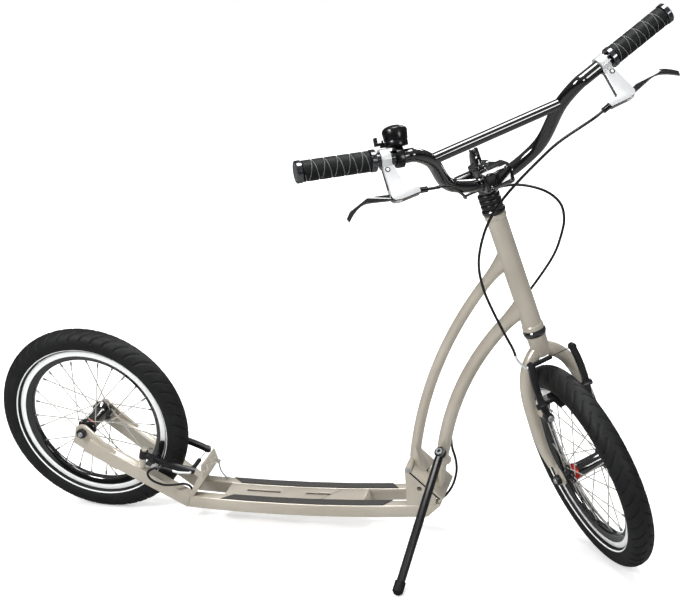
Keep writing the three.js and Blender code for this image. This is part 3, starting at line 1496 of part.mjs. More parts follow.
// A point on the straight end of the bar at a distance to the side of the middle plane
function onBar(side, distance) {
  const out = barOut(side);
  return offset(barEnd(side), out, -(barHalfWidth - distance) / Math.abs(out.y));
}

function handlebar() {
  const right = [...barHalfShares].reverse().map((shares) => barPoint(-1, shares));
  const left = barHalfShares.map((shares) => barPoint(1, shares));
  const tube = pipe([...right, barCentre, ...left], barRadius, barSides, 32);
  const kneeShares = barHalfShares[3];
  const crossbar = rod(barPoint(-1, kneeShares), barPoint(1, kneeShares), crossbarRadius, 10);
  return join(tube, crossbar);
}

const gripSides = 12;
const barSeat = bored(barRadius, gripSides);
const gripSleeveRadius = barSeat + gripSleeveWall;

// Clamp collars at both ends of a grip, joined by the thin sleeve that the rubber sits on
function gripCollars(side) {
  const bore = barSeat;
  const start = offset(barEnd(side), barOut(side), -gripLength);
  return turned([
    [bore, 0],
    [gripCollarRadius, 0],
    [gripCollarRadius, gripCollarWidth],
    [gripSleeveRadius, gripCollarWidth],
    [gripSleeveRadius, gripLength - gripCollarWidth],
    [gripCollarRadius, gripLength - gripCollarWidth],
    [gripCollarRadius, gripLength],
    [bore, gripLength],
    [bore, 0],
  ], start, barOut(side), gripSides);
}

function gripRubber(side) {
  const bore = gripSleeveRadius + seatGap;
  const low = gripCollarWidth + seatGap;
  const high = gripLength - gripCollarWidth - seatGap;
  const start = offset(barEnd(side), barOut(side), -gripLength);
  const profile = [[bore, low]];
  const steps = gripRidgeCount * 2;
  for (let i = 0; i <= steps; i += 1) {
    const radius = i % 2 === 0 ? gripRadius : gripRadius - gripRidgeDepth;
    profile.push([radius, low + ((high - low) * i) / steps]);
  }
  profile.push([bore, high], [bore, low]);
  return turned(profile, start, barOut(side), gripSides);
}

// Brake levers
function leverFrame(side) {
  const toward = vec(bladeTowardShares[0], 0, bladeTowardShares[1]);
  return addFrame(steering, onBar(side, leverPlace), barOut(side), toward);
}

function zRod(x, y, lowZ, highZ, radius, sides) {
  return rod(vec(x, y, lowZ), vec(x, y, highZ), radius, sides);
}

function leverPerch() {
  const half = leverBodyThickness / 2;
  const ring = rod(vec(-leverClampWidth / 2, 0, 0), vec(leverClampWidth / 2, 0, 0), leverClampRadius, gripSides);
  const outline = polygon([
    [leverClampWidth / 2, leverClampRadius * 0.5],
    [leverPivotRadius, leverPivotReach],
    [leverPivotRadius * 0.4, leverPivotReach + leverPivotRadius],
    [-leverPivotRadius, leverPivotReach + leverPivotRadius],
    [-leverBarrelOut * 0.75, leverBarrelReach + leverBarrelRadius],
    [-leverBarrelOut * 0.75, leverBarrelReach - leverBarrelRadius],
    [-leverBarrelOut * 0.4, leverPivotReach - leverPivotRadius],
    [-leverClampWidth / 2, leverClampRadius * 0.5],
  ]);
  const barrelFoot = vec(-leverBarrelOut * 0.7, leverBarrelReach, 0);
  const barrel = rod(barrelFoot, vec(-leverBarrelOut, leverBarrelReach, 0), leverBarrelRadius, 8);
  const body = join(ring, sheet(outline, -half, half), zRod(0, leverPivotReach, -half, half, leverPivotRadius, 12), barrel);
  const slotHalf = bladeThickness / 2 + runningGap;
  const slot = block(-leverPivotRadius * 1.6, leverPivotRadius * 3, leverPivotReach - leverPivotRadius * 1.9,
    leverPivotReach + leverPivotRadius * 2, -slotHalf, slotHalf);
  const bore = rod(vec(-leverClampWidth, 0, 0), vec(leverClampWidth, 0, 0), barSeat, gripSides);
  const pin = zRod(0, leverPivotReach, -half + weldDepth, half - weldDepth, leverPinRadius, 8);
  return join(cut(body, slot, bore), pin);
}

function leverBlade() {
  const half = bladeThickness / 2;
  const width = bladeWidth / 2;
  const y = leverPivotReach;
  const waist = y - bladeWaistDrop;
  const end = y + bladeEndRise;
  const shape = new THREE.Shape();
  shape.moveTo(0, y + width);
  shape.bezierCurveTo(bladeLength * 0.3, y + width, bladeLength * 0.35, waist + width, bladeLength * 0.55, waist + width);
  shape.quadraticCurveTo(bladeLength * 0.75, waist + width, bladeLength, end + width * 0.5);
  shape.lineTo(bladeLength + width * 0.6, end - width);
  shape.quadraticCurveTo(bladeLength * 0.8, waist - width, bladeLength * 0.55, waist - width);
  shape.bezierCurveTo(bladeLength * 0.3, waist - width, bladeLength * 0.25, y - width, 0, y - width);
  shape.closePath();
  const body = join(sheet(shape, -half, half, 6), zRod(0, y, -half, half, leverPivotRadius * 0.85, 10));
  return cut(body, zRod(0, y, -bladeThickness, bladeThickness, bored(leverPinRadius, 8), 8));
}

// Bell: a clamp and round base on the bar, a dome on a middle post and a thumb lever
function bellFrame() {
  const up = heading(bellAngle);
  return addFrame(steering, onBar(-1, bellPlace), barOut(-1), up.clone().cross(barOut(-1)));
}

const bellFoot = barSeat + bellClampWall;

function bellBase() {
  const half = bellClampWidth / 2;
  const clamp = rod(vec(-half, 0, 0), vec(half, 0, 0), bellFoot, gripSides);
  const base = turned([
    [0, bellFoot - weldDepth * 2],
    [bellBaseRadius, bellFoot],
    [bellBaseRadius, bellFoot + bellBaseHeight],
    [bellPostRadius, bellFoot + bellBaseHeight],
    [bellPostRadius, bellPostTop()],
    [0, bellPostTop()],
  ], vec(0, 0, 0), zAxis, bellSides);
  const bore = rod(vec(-bellClampWidth, 0, 0), vec(bellClampWidth, 0, 0), barSeat, gripSides);
  const lugX = bellLeverPivotX();
  const lugZ = bellFoot + bellBaseHeight / 2;
  const lug = block(bellBaseRadius * 0.6, lugX, -bellLeverWidth / 2, bellLeverWidth / 2, bellFoot + weldDepth / 2,
    bellFoot + bellBaseHeight * 0.45);
  const pin = zRod(lugX - bellLeverWidth / 2, 0, bellFoot + weldDepth, lugZ + bellBaseHeight, bellPostRadius * 0.5, 6);
  return join(cut(join(clamp, base), bore), lug, pin);
}

function bellLeverPivotX() {
  return bellBaseRadius + bellLeverWidth;
}

function bellPostTop() {
  return bellDomeFoot() + bellHeight - bellWall - runningGap * 2;
}

function bellDomeFoot() {
  return bellFoot + bellBaseHeight + runningGap * 2;
}

function bellDome() {
  const foot = bellDomeFoot();
  const steps = 4;
  const bend = foot + bellSideHeight;
  const outer = [[bellRadius - bellSideTaper, foot]];
  const inner = [[bellRadius - bellSideTaper - bellWall, foot]];
  const topRise = bellHeight - bellSideHeight;
  for (let i = 0; i < steps; i += 1) {
    const angle = (Math.PI / 2) * (i / steps);
    outer.push([bellRadius * Math.cos(angle), bend + topRise * Math.sin(angle)]);
    inner.push([(bellRadius - bellWall) * Math.cos(angle), bend + (topRise - bellWall) * Math.sin(angle)]);
  }
  outer.push([0, bend + topRise]);
  inner.push([0, bend + topRise - bellWall]);
  return turned([...outer, ...inner.reverse(), outer[0]], vec(0, 0, 0), zAxis, bellSides);
}

function bellThumbLever() {
  const low = bellFoot + bellBaseHeight * 0.45 + seatGap;
  const pivotX = bellLeverPivotX() - bellLeverWidth / 2;
  const high = low + bellLeverThickness;
  const half = bellLeverWidth / 2;
  const eye = half * 0.85;
  const shape = polygon([
    [pivotX, -eye],
    [bellLeverReach, -half * 0.8],
    [bellLeverReach + half, half * 1.5],
    [bellLeverReach - half * 0.5, half * 2],
    [pivotX, eye],
  ]);
  const bore = zRod(pivotX, 0, low - cutOverrun, high + cutOverrun, bored(bellPostRadius * 0.5, 6), 6);
  const tab = block(bellLeverReach, bellLeverReach + half, -half, half * 1.5, low, low + bellTabRise);
  return cut(join(sheet(shape, low, high), zRod(pivotX, 0, low, high, eye, 10), tab), bore);
}

addPiece(steering, 'fork', fork(), 'paint');
addPiece(steering, 'headset_spacers', headsetSpacers(), 'blackMetal');
addPiece(steering, 'stem', stem(), 'blackMetal');
addPiece(steering, 'stem_faceplate', stemFaceplate(), 'blackMetal');
addPiece(steering, 'stem_quick_lever', quickLever(), 'blackMetal');
addPiece(steering, 'handlebar', handlebar(), 'blackMetal');
for (const [side, name] of [[1, 'left'], [-1, 'right']]) {
  addPiece(steering, `${name}_grip`, gripRubber(side), 'rubber');
  addPiece(steering, `${name}_grip_collars`, gripCollars(side), 'silver');
  const frame = leverFrame(side);
  addPiece(frame, `${name}_lever_perch`, leverPerch(), 'silver');
  addPiece(frame, `${name}_brake_lever`, leverBlade(), 'silver');
}
const bell = bellFrame();
addPiece(bell, 'bell_base', bellBase(), 'plastic');
addPiece(bell, 'bell_dome', bellDome(), 'plastic');
addPiece(bell, 'bell_thumb_lever', bellThumbLever(), 'plastic');

const frontWheel = addGroup(steering, frontAxle);
addWheel(frontWheel, 'front', forkEndThickness);
addBrake(brakeFrame(steering, frontAxle, frontBrakeAngle, frontBrakePlane), 'front', frontBrakePlane, 1);

// Brake cables. The front one stays on the steering assembly; the rear one loops from the steering
// assembly to the head tube, follows the front column tube and runs on under the deck
function barrelTip(side) {
  const frame = leverFrame(side);
  steering.remove(frame);
  frame.updateMatrix();
  const tip = vec(-(leverBarrelOut + seatGap), leverBarrelReach, 0).applyMatrix4(frame.matrix);
  const away = vec(-(leverBarrelOut + leverBarrelLength), leverBarrelReach, 0).applyMatrix4(frame.matrix);
  return [tip, away];
}

function noodleEnd(side, gap) {
  const outer = brakePivotSpread / 2;
  return vec(brakeArmReach + side * (outer * 1.5 + gap), -(brakePivotSpread + outer), 0);
}

function frontNoodleEnd(gap) {
  const end = noodleEnd(1, gap);
  return vec(frontAxle.x - frontBrakePlane, end.y, frontAxle.z + end.x);
}

function rearNoodleEnd(gap) {
  const end = noodleEnd(-1, gap);
  const along = offset(vec(0, end.y, 0), rearBrakeOut, end.x);
  return offset(along, rearBrakeNormal, rearBrakePlane);
}

// Routes on the steering assembly are written forward, left, up; the deck's is in the scooter's frame
const frontCableRoute = [
  [165, 83, 615], [140, 52, 594], [105, 6, 559], [90, -19, 538], [72, -45, 507], [60, -67, 468],
  [52, -76, 437], [45, -78, 394], [43, -74, 350], [44, -68, 305],
];
const rearLoopRoute = [
  [168, -132, 630], [140, -105, 615], [96, -76, 584], [36, -52, 556], [-12, -36, 545], [-33, -2, 538],
  [-30, 30, 531], [-18, 54, 527], [2, 76, 518], [20, 98, 499], [30, 109, 475], [30, 107, 448],
  [20, 95, 417], [4, 74, 382],
];
const deckCableRoute = [
  [741, 17.7, 2], [742, 17.7, -10], [748, 16, -34], [749, 15, -56], [744, 15, -80], [734, 15, -103], [716, 13, -124],
  [684, 8, -133], [640, 0, -137], [560, 0, -146], [440, 0, -154], [320, 0, -161], [262, -2, -162],
  [240, -6, -161], [222, -10, -157], [206, -15, -147], [198, -17, -130], [192, -30, -117], [184, -49, -108],
  [163, -62, -102],
  [140, -67, -88], [136, -67, -74], [148, -66, -64], [168, -64, -61],
];

function routePoints(route) {
  return route.map(([x, y, z]) => vec(x, y, z));
}

function cable(points, steps) {
  return pipe(points, cableRadius, cableSides, steps);
}

// The cable lies along the left side of the front column tube; its places are shares of the
// tube's arc
function columnCablePoint(share) {
  const at = arcPoint(frontArc, arcAtHead(frontArc) * share);
  return vec(at.x, frontTubeBreadth / 2 + cableRadius + seatGap, at.z);
}

function columnCable() {
  const steps = 5;
  const points = [];
  for (let i = 0; i <= steps; i += 1) {
    points.push(columnCablePoint(columnCableShare + ((columnCableEndShare - columnCableShare) * i) / steps));
  }
  const last = offset(routePoints(deckCableRoute)[0], zAxis, seatGap);
  const before = offset(last, zAxis, frontTubeDepth);
  return cable([...points, before, last], 20);
}

function rearLoop() {
  steering.updateMatrix();
  const toSteering = head.matrix.clone().multiply(steering.matrix).invert();
  const top = columnCablePoint(columnCableShare);
  const upward = top.clone().sub(columnCablePoint(columnCableShare * 0.99)).normalize();
  const start = offset(top, upward, seatGap);
  const before = offset(top, upward, tubeFlareDepth / 2);
  const last = [before, start].map((point) => point.applyMatrix4(toSteering));
  return cable([...barrelTip(-1), ...routePoints(rearLoopRoute), ...last], 44);
}

function frontCable() {
  const last = frontNoodleEnd(seatGap);
  const before = offset(last, zAxis, cableRadius * 4);
  return cable([...barrelTip(1), ...routePoints(frontCableRoute), before, last], 36);
}

function deckCable() {
  const last = rearNoodleEnd(seatGap);
  const before = offset(last, rearBrakeOut, -cableRadius * 3);
  return cable([...routePoints(deckCableRoute), before, last], 56);
}

addPiece(steering, 'front_brake_cable', frontCable(), 'rubber');
addPiece(steering, 'rear_brake_cable_upper', rearLoop(), 'rubber');
addPiece(scooter, 'rear_brake_cable_middle', columnCable(), 'rubber');
addPiece(scooter, 'rear_brake_cable_lower', deckCable(), 'rubber');

// Stance: the scooter leans on its kickstand. A first level plane touches both round tyres and the
// stand's foot; each wheel is then turned until a tread facet lies flat on it, and the final plane
// goes through the lowest corners of both tyres and the foot
function wheelInScooter(wheel) {
  scooter.updateMatrixWorld(true);
  const inverse = scooter.matrixWorld.clone().invert();
  return inverse.multiply(wheel.matrixWorld);
}

function planeThrough(a, b, c) {
  const normal = b.clone().sub(a).cross(c.clone().sub(a)).normalize();
  return normal.z < 0 ? normal.negate() : normal;
}

function tyreFoot(wheel, normal) {
  const matrix = wheelInScooter(wheel);
  const centre = vec(0, 0, 0).applyMatrix4(matrix);
  const axle = yAxis.clone().transformDirection(matrix);
  const down = offset(normal, axle, -normal.dot(axle)).normalize();
  return offset(offset(centre, down, -tyreCentreRadius), normal, -tyreSectionRadius);
}

function lowestCorner(mesh, normal) {
  scooter.updateMatrixWorld(true);
  const position = mesh.geometry.getAttribute('position');
  const point = vec(0, 0, 0);
  const lowest = vec(0, 0, 0);
  let least = Infinity;
  for (let i = 0; i < position.count; i += 1) {
    point.fromBufferAttribute(position, i).applyMatrix4(mesh.matrixWorld);
    const height = point.dot(normal);
    if (height < least) {
      least = height;
      lowest.copy(point);
    }
  }
  return lowest;
}

function layFacetDown(wheel, normal) {
  const matrix = wheelInScooter(wheel);
  const local = normal.clone().negate().transformDirection(matrix.invert());
  const angle = Math.atan2(local.x, local.z);
  const facet = (Math.PI * 2) / ringSegments;
  const middle = (Math.floor(angle / facet) + 0.5) * facet;
  wheel.rotation.y += angle - middle;
}

function levelNormal() {
  const rounds = 12;
  const foot = scooter.getObjectByName('kickstand_foot');
  let normal = offset(zAxis, yAxis, Math.sin(radians(headAngle / 2))).normalize();
  for (let i = 0; i < rounds; i += 1) {
    normal = planeThrough(tyreFoot(rearWheel, normal), tyreFoot(frontWheel, normal), lowestCorner(foot, normal));
  }
  layFacetDown(rearWheel, normal);
  layFacetDown(frontWheel, normal);
  const tyres = [scooter.getObjectByName('rear_tyre'), scooter.getObjectByName('front_tyre')];
  for (let i = 0; i < rounds; i += 1) {
    const [rear, front, stand] = [...tyres, foot].map((mesh) => lowestCorner(mesh, normal));
    normal = planeThrough(rear, front, stand);
  }
  return normal;
}

const kickBike = new THREE.Group();
const up = levelNormal();
const ahead = offset(xAxis, up, -xAxis.dot(up)).normalize();
const sideways = up.clone().cross(ahead);
const level = new THREE.Matrix4().makeBasis(ahead, sideways, up).invert();
scooter.quaternion.setFromRotationMatrix(level);
kickBike.add(scooter);
kickBike.updateMatrixWorld(true);
const bounds = new THREE.Box3().setFromObject(kickBike, true);
scooter.position.set(-(bounds.min.x + bounds.max.x) / 2, -(bounds.min.y + bounds.max.y) / 2, -bounds.min.z);

export default kickBike;
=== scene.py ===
from math import acos, atan2, cos, degrees, hypot, pi, radians, sin, sqrt

import bmesh
import bpy
from mathutils import Matrix, Vector


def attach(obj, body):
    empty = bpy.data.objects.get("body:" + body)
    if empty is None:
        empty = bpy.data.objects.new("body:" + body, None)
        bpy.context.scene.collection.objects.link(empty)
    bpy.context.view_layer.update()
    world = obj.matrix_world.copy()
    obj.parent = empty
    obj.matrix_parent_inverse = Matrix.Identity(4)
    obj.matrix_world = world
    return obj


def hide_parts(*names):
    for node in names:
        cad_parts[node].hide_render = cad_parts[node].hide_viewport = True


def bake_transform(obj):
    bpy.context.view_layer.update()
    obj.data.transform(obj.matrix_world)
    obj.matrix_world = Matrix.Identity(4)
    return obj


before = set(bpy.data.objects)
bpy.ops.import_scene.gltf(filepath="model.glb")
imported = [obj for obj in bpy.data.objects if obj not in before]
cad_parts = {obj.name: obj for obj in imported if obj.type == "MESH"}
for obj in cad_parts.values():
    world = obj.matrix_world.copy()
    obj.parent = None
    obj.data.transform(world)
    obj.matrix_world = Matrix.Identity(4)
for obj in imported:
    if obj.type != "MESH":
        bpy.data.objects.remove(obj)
scene = bpy.context.scene
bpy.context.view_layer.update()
print("frame loaded:", len(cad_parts), "nodes")

# Places of the part's own frames, in millimetres as in the part's source
scooter = Matrix(((0.9999784, 0.0009353, 0.0064983, -477.3413),
                  (0.0, 0.9898013, -0.142455, 142.3281),
                  (-0.0065653, 0.142452, 0.9897799, 200.1804),
                  (0, 0, 0, 1)))
columnHead = scooter @ Matrix.Translation((984, 0, 0)) @ Matrix.Rotation(radians(-16.3), 4, "Y")
steering = columnHead @ Matrix.Rotation(radians(-53.8), 4, "Z")
hinge = scooter @ Matrix.Translation((668, 0, -31)) @ Matrix.Rotation(radians(44), 4, "Y")
frontAxle = Vector((34, 0, -2.6))
frontWheel = steering @ Matrix.Translation(frontAxle)
sideways = (0, 1, 0)


def heading(angle):
    return Vector((cos(radians(angle)), 0, sin(radians(angle))))


def axesFrame(parent, origin, xDirection, yDirection):
    x = Vector(xDirection).normalized()
    z = x.cross(Vector(yDirection)).normalized()
    y = z.cross(x)
    turn = Matrix((x, y, z)).transposed().to_4x4()
    return parent @ Matrix.Translation(origin) @ turn


def pick(sizes, names):
    return (sizes[name] for name in names.split())


def setAll(target, values):
    for key, value in values.items():
        setattr(target, key, value)


def addObject(name, data):
    made = bpy.data.objects.new(name, data)
    scene.collection.objects.link(made)
    return made


# Camera at the photograph's place
def makeCamera():
    place = {"azimuth": 16.26, "height": 24.91, "roll": -3.8, "eye": (1290.2, -2114.8, 1302.9),
        "camera": {"sensor_fit": "HORIZONTAL", "sensor_width": 36, "lens": 70.63, "shift_x": -0.0973,
        "shift_y": 0.0204, "clip_end": 50}}
    azimuth, height, roll = (radians(place[k]) for k in ("azimuth", "height", "roll"))
    look = Vector((-sin(azimuth) * cos(height), cos(azimuth) * cos(height), -sin(height)))
    right = Vector((cos(azimuth), sin(azimuth), 0))
    up = right.cross(look)
    turnedRight = right * cos(roll) + up * sin(roll)
    turnedUp = up * cos(roll) - right * sin(roll)
    turn = scooter.to_3x3() @ Matrix((turnedRight, turnedUp, -look)).transposed()
    data = bpy.data.cameras.new("photoCamera")
    setAll(data, place["camera"])
    camera = addObject("photoCamera", data)
    camera.matrix_world = Matrix.Translation(scooter @ Vector(place["eye"]) / 1000) @ turn.to_4x4()
    scene.camera = camera


makeCamera()
print("camera placed")


# Materials
def toLinear(hexColour):
    parts = [int(hexColour[i:i + 2], 16) / 255 for i in (0, 2, 4)]
    return [p / 12.92 if p <= 0.04045 else ((p + 0.055) / 1.055) ** 2.4 for p in parts] + [1]


# A link comes from a socket, or from the first output of a node
def addNode(tree, kind, settings=None, links=None):
    node = tree.nodes.new(kind)
    for key, value in (settings or {}).items():
        if isinstance(key, str) and hasattr(node, key):
            setattr(node, key, value)
        else:
            node.inputs[key].default_value = value
    for key, source in (links or {}).items():
        tree.links.new(getattr(source, "outputs", [source])[0], node.inputs[key])
    return node


def newMaterial(name):
    material = bpy.data.materials.new(name)
    material.use_nodes = True
    material.node_tree.nodes.clear()
    return material, material.node_tree


def twoTones(tree, colours, share):
    return addNode(tree, "ShaderNodeMix", {"data_type": "RGBA", 6: toLinear(colours[0]), 7: toLinear(colours[1])},
        {0: share}).outputs[2]


# A finish from its two colours, a cloudy pattern, a fine grain for gloss and bump, in millimetres
def makeFinish(name, colours, cloudMm, grainMm, roughness, bumpMm, sockets=None):
    material, tree = newMaterial(name)
    place = addNode(tree, "ShaderNodeTexCoord").outputs["Object"]
    cloud = addNode(tree, "ShaderNodeTexNoise", {"Scale": 1000 / cloudMm, "Detail": 4}, {"Vector": place})
    grain = addNode(tree, "ShaderNodeTexNoise", {"Scale": 1000 / grainMm, "Detail": 2}, {"Vector": place})
    spread = addNode(tree, "ShaderNodeMapRange", {"From Min": 0.3, "From Max": 0.7}, {"Value": cloud})
    colour = twoTones(tree, colours, spread)
    rough = addNode(tree, "ShaderNodeMapRange", {"From Min": 0.35, "From Max": 0.65, "To Min": roughness[0],
        "To Max": roughness[1]}, {"Value": grain})
    bump = addNode(tree, "ShaderNodeBump", {"Strength": 1.0, "Distance": bumpMm / 1000}, {"Height": grain})
    shader = addNode(tree, "ShaderNodeBsdfPrincipled", sockets,
        {"Base Color": colour, "Roughness": rough, "Normal": bump})
    addNode(tree, "ShaderNodeOutputMaterial", None, {"Surface": shader})
    return material


# Metal flake under clear lacquer, warm grey
lacquer = makeFinish("champagneMetallicLacquer", ("c6bfb1", "b8b0a2"), 90, 0.9, (0.28, 0.38), 0.02,
    {"Metallic": 0.35, "Coat Weight": 0.6, "Coat Roughness": 0.06})
# Deep black with sharp long highlights
glossBlack = makeFinish("glossBlackLacquer", ("040405", "060607"), 60, 2.5, (0.08, 0.12), 0.008,
    {"Specular IOR Level": 0.9, "Coat Weight": 1.0, "Coat Roughness": 0.03})
# Dry, slightly metallic black
satinBlack = makeFinish("blackAnodisedAluminium", ("0b0b0d", "121214"), 25, 0.6, (0.26, 0.38), 0.02,
    {"Specular IOR Level": 0.6})
# Bright with faint polishing haze
aluminium = makeFinish("polishedAluminium", ("f2f3f3", "e9ebec"), 30, 0.8, (0.3, 0.38), 0.004, {"Metallic": 0.55})
# Greyer than the aluminium, patchy gloss
zincSteel = makeFinish("zincPlatedSteel", ("c2c4c6", "abaeb1"), 6, 0.5, (0.26, 0.4), 0.02, {"Metallic": 0.7})
# Dull drawn wire, light grey against the white
spokeSteel = makeFinish("stainlessSpokeWire", ("bab7b1", "a5a29d"), 30, 1.2, (0.4, 0.5), 0.01, {"Metallic": 0.2})
# Dark mirror with white streaks
smokedChrome = makeFinish("smokedChrome", ("77797c", "65676a"), 12, 0.8, (0.12, 0.2), 0.01, {"Metallic": 1.0})
# Carbon black rubber, greyish where light grazes it
tyreRubber = makeFinish("mouldedTyreRubber", ("121213", "191a1a"), 40, 0.7, (0.5, 0.64), 0.08,
    {"Specular IOR Level": 0.3})
# Painted shade: groove floors drawn darker than the tread, for the shade in the recesses
paintedGrooveShade = makeFinish("shadedTreadGroove", ("050506", "090909"), 30, 0.7, (0.8, 0.9), 0.05)
# Woven reflective strip, nearly white
reflexBand = makeFinish("reflexSidewallBand", ("f4f5f4", "e8e9e8"), 8, 0.6, (0.45, 0.6), 0.02)
# Matt black
softRubber = makeFinish("softBlackRubber", ("08090a", "0e0f10"), 14, 0.6, (0.5, 0.66), 0.05,
    {"Specular IOR Level": 0.3})
# Smooth black sleeve, one thin highlight
cableHousing = makeFinish("blackCableHousing", ("0b0b0c", "121214"), 30, 1.5, (0.28, 0.38), 0.02)
# Dark grit, grains drawn at 1.4 mm so that they show
gritTape = makeFinish("gritGripTape", ("4a4947", "2a2928"), 1.4, 1.4, (0.8, 0.95), 0.5)
# Shiny black plastic, greyer than the lacquer
mouldedPlastic = makeFinish("glossyMouldedAbs", ("08080a", "0e0e10"), 20, 1.0, (0.2, 0.28), 0.02)
# Orange-red dye over bright metal
redAnodised = makeFinish("redAnodisedAluminium", ("d8301f", "b3241a"), 8, 0.6, (0.25, 0.35), 0.01,
    {"Metallic": 0.6})
# Mid grey dots along the rim
nippleNickel = makeFinish("nickelledNipple", ("8c8d8f", "77797b"), 6, 0.5, (0.3, 0.42), 0.01, {"Metallic": 0.4})
# Grey crossing lines of the grips
grooveInk = makeFinish("greyGrooveInk", ("77797a", "696b6c"), 6, 0.6, (0.5, 0.65), 0.02)


# The brake track is turned on a lathe: fine rings, drawn 0.9 mm apart so that they show
def makeTurnedTrack():
    ringMm, turnLength = 0.9, 6.28
    material, tree = newMaterial("turnedBrakeTrack")
    surface = addNode(tree, "ShaderNodeUVMap", {"uv_map": "surface"})
    rings = addNode(tree, "ShaderNodeTexWave", {"wave_type": "BANDS", "bands_direction": "Y",
        "Scale": 1000 / ringMm / turnLength, "Distortion": 0.4, "Detail": 1}, {"Vector": surface}).outputs["Fac"]
    rough = addNode(tree, "ShaderNodeMapRange", {"To Min": 0.35, "To Max": 0.45}, {"Value": rings})
    tone = twoTones(tree, ("f6f7f7", "e9ebeb"), rings)
    bump = addNode(tree, "ShaderNodeBump", {"Strength": 0.4, "Distance": 0.00002}, {"Height": rings})
    shader = addNode(tree, "ShaderNodeBsdfPrincipled", {"Metallic": 0.15},
        {"Base Color": tone, "Roughness": rough, "Normal": bump})
    addNode(tree, "ShaderNodeOutputMaterial", None, {"Surface": shader})
    return material


machinedTrack = makeTurnedTrack()
print("materials made:", len(bpy.data.materials))


# Shapes are lists of points in millimetres with faces, and one place along and around for each point
def loopPoints(profile, steps, foot=(0, 0, 0), direction=(0, 0, 1)):
    turn = Vector((0, 0, 1)).rotation_difference(Vector(direction)).to_matrix()
    foot = Vector(foot)
    points, faces, places = [], [], []
    lengths = [0.0]
    for (r0, h0), (r1, h1) in zip(profile, profile[1:]):
        lengths.append(lengths[-1] + hypot(r1 - r0, h1 - h0))
    for i in range(steps + 1):
        angle = 2 * pi * i / steps
        for (r, h), length in zip(profile, lengths):
            points.append(foot + turn @ Vector((r * cos(angle), r * sin(angle), h)))
            places.append((angle * 0.05, length / 1000))
    count = len(profile)
    for i in range(steps):
        for j in range(count - 1):
            a = i * count + j
            faces.append((a, a + count, a + count + 1, a + 1))
    return points, faces, places


def smoothPath(points, perSpan):
    points = [Vector(p) for p in points]
    ends = [points[0] * 2 - points[1], *points, points[-1] * 2 - points[-2]]
    path = []
    for i in range(len(points) - 1):
        p0, p1, p2, p3 = ends[i:i + 4]
        d0, d1, d2 = (max((b - a).length, 1e-4) ** 0.5 for a, b in ((p0, p1), (p1, p2), (p2, p3)))
        t1 = ((p1 - p0) / d0 - (p2 - p0) / (d0 + d1) + (p2 - p1) / d1) * d1
        t2 = ((p2 - p1) / d1 - (p3 - p1) / (d1 + d2) + (p3 - p2) / d2) * d1
        for k in range(perSpan):
            t = k / perSpan
            path.append(p1 * (2 * t ** 3 - 3 * t ** 2 + 1) + t1 * (t ** 3 - 2 * t ** 2 + t)
                + p2 * (3 * t ** 2 - 2 * t ** 3) + t2 * (t ** 3 - t ** 2))
    return path + [points[-1]]


def ringFaces(rows, sides):
    corners = ((i * sides + k, i * sides + (k + 1) % sides) for i in range(rows) for k in range(sides))
    return [(a, b, b + sides, a + sides) for a, b in corners]


# A tube along points. The radius is one number, or a pair of half sizes for each point
def tubeAlong(points, radius, sides, across=None):
    points = [Vector(p) for p in points]
    sizes = radius if isinstance(radius, list) else [(radius, radius)] * len(points)
    shape, places = [], []
    side = Vector(across) if across else None
    travelled = 0.0
    for i, point in enumerate(points):
        tangent = (points[min(i + 1, len(points) - 1)] - points[max(i - 1, 0)]).normalized()
        if side is None:
            side = tangent.orthogonal()
        reference = Vector(across) if across else side
        side = (reference - tangent * reference.dot(tangent)).normalized()
        up = tangent.cross(side)
        travelled += (point - points[i - 1]).length if i else 0
        for k in range(sides):
            angle = 2 * pi * k / sides
            shape.append(point + side * cos(angle) * sizes[i][0] + up * sin(angle) * sizes[i][1])
            places.append((travelled / 1000, angle * 0.01))
    last = (len(points) - 1) * sides
    caps = [tuple(range(sides))[::-1], tuple(last + k for k in range(sides))]
    return shape, ringFaces(len(points) - 1, sides) + caps, places


# A flat outline in X and Z, given thickness along Y
def prism(outline, low, high):
    count = len(outline)
    points = [Vector((a, y, b)) for y in (low, high) for a, b in outline]
    faces = [tuple(range(count))[::-1], tuple(count + i for i in range(count))]
    faces += [(i, (i + 1) % count, count + (i + 1) % count, count + i) for i in range(count)]
    return points, faces, [(0, 0)] * len(points)


# One object from shapes, each with its place and material. It may stand for one CAD node
def makePiece(name, shapes, body, node=None, smoothAngle=35, bevelMm=0):
    mesh = bpy.data.meshes.new(name)
    work = bmesh.new()
    surface = work.loops.layers.uv.new("surface")
    materials = []
    for (points, faces, places), place, material in shapes:
        if material not in materials:
            materials.append(material)
        corners = [work.verts.new(place @ Vector(p) / 1000) for p in points]
        for face in faces:
            made = work.faces.new([corners[i] for i in face])
            made.material_index = materials.index(material)
            made.smooth = True
            for loop, i in zip(made.loops, face):
                loop[surface].uv = places[i]
    bmesh.ops.remove_doubles(work, verts=work.verts, dist=2e-6)
    bmesh.ops.dissolve_degenerate(work, edges=work.edges, dist=1e-7)
    bmesh.ops.recalc_face_normals(work, faces=work.faces)
    work.to_mesh(mesh)
    work.free()
    for material in materials:
        mesh.materials.append(material)
    return settle(addObject(name, mesh), body, node, smoothAngle, bevelMm)


def applied(piece):
    graph = bpy.context.evaluated_depsgraph_get()
    mesh = bpy.data.meshes.new_from_object(piece.evaluated_get(graph))
    old = piece.data
    piece.modifiers.clear()
    piece.data = mesh
    bpy.data.meshes.remove(old)
    mesh.name = piece.name


def settle(piece, body, node, smoothAngle=35, bevelMm=0):
    if bevelMm:
        setAll(piece.modifiers.new("edge", "BEVEL"), {"width": bevelMm / 1000, "segments": 2,
            "limit_method": "ANGLE", "angle_limit": radians(30), "harden_normals": False})
        applied(piece)
    piece.data.shade_smooth()
    piece.data.set_sharp_from_angle(angle=radians(smoothAngle))
    if body:
        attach(piece, body)
    if node:
        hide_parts(node)
    return piece


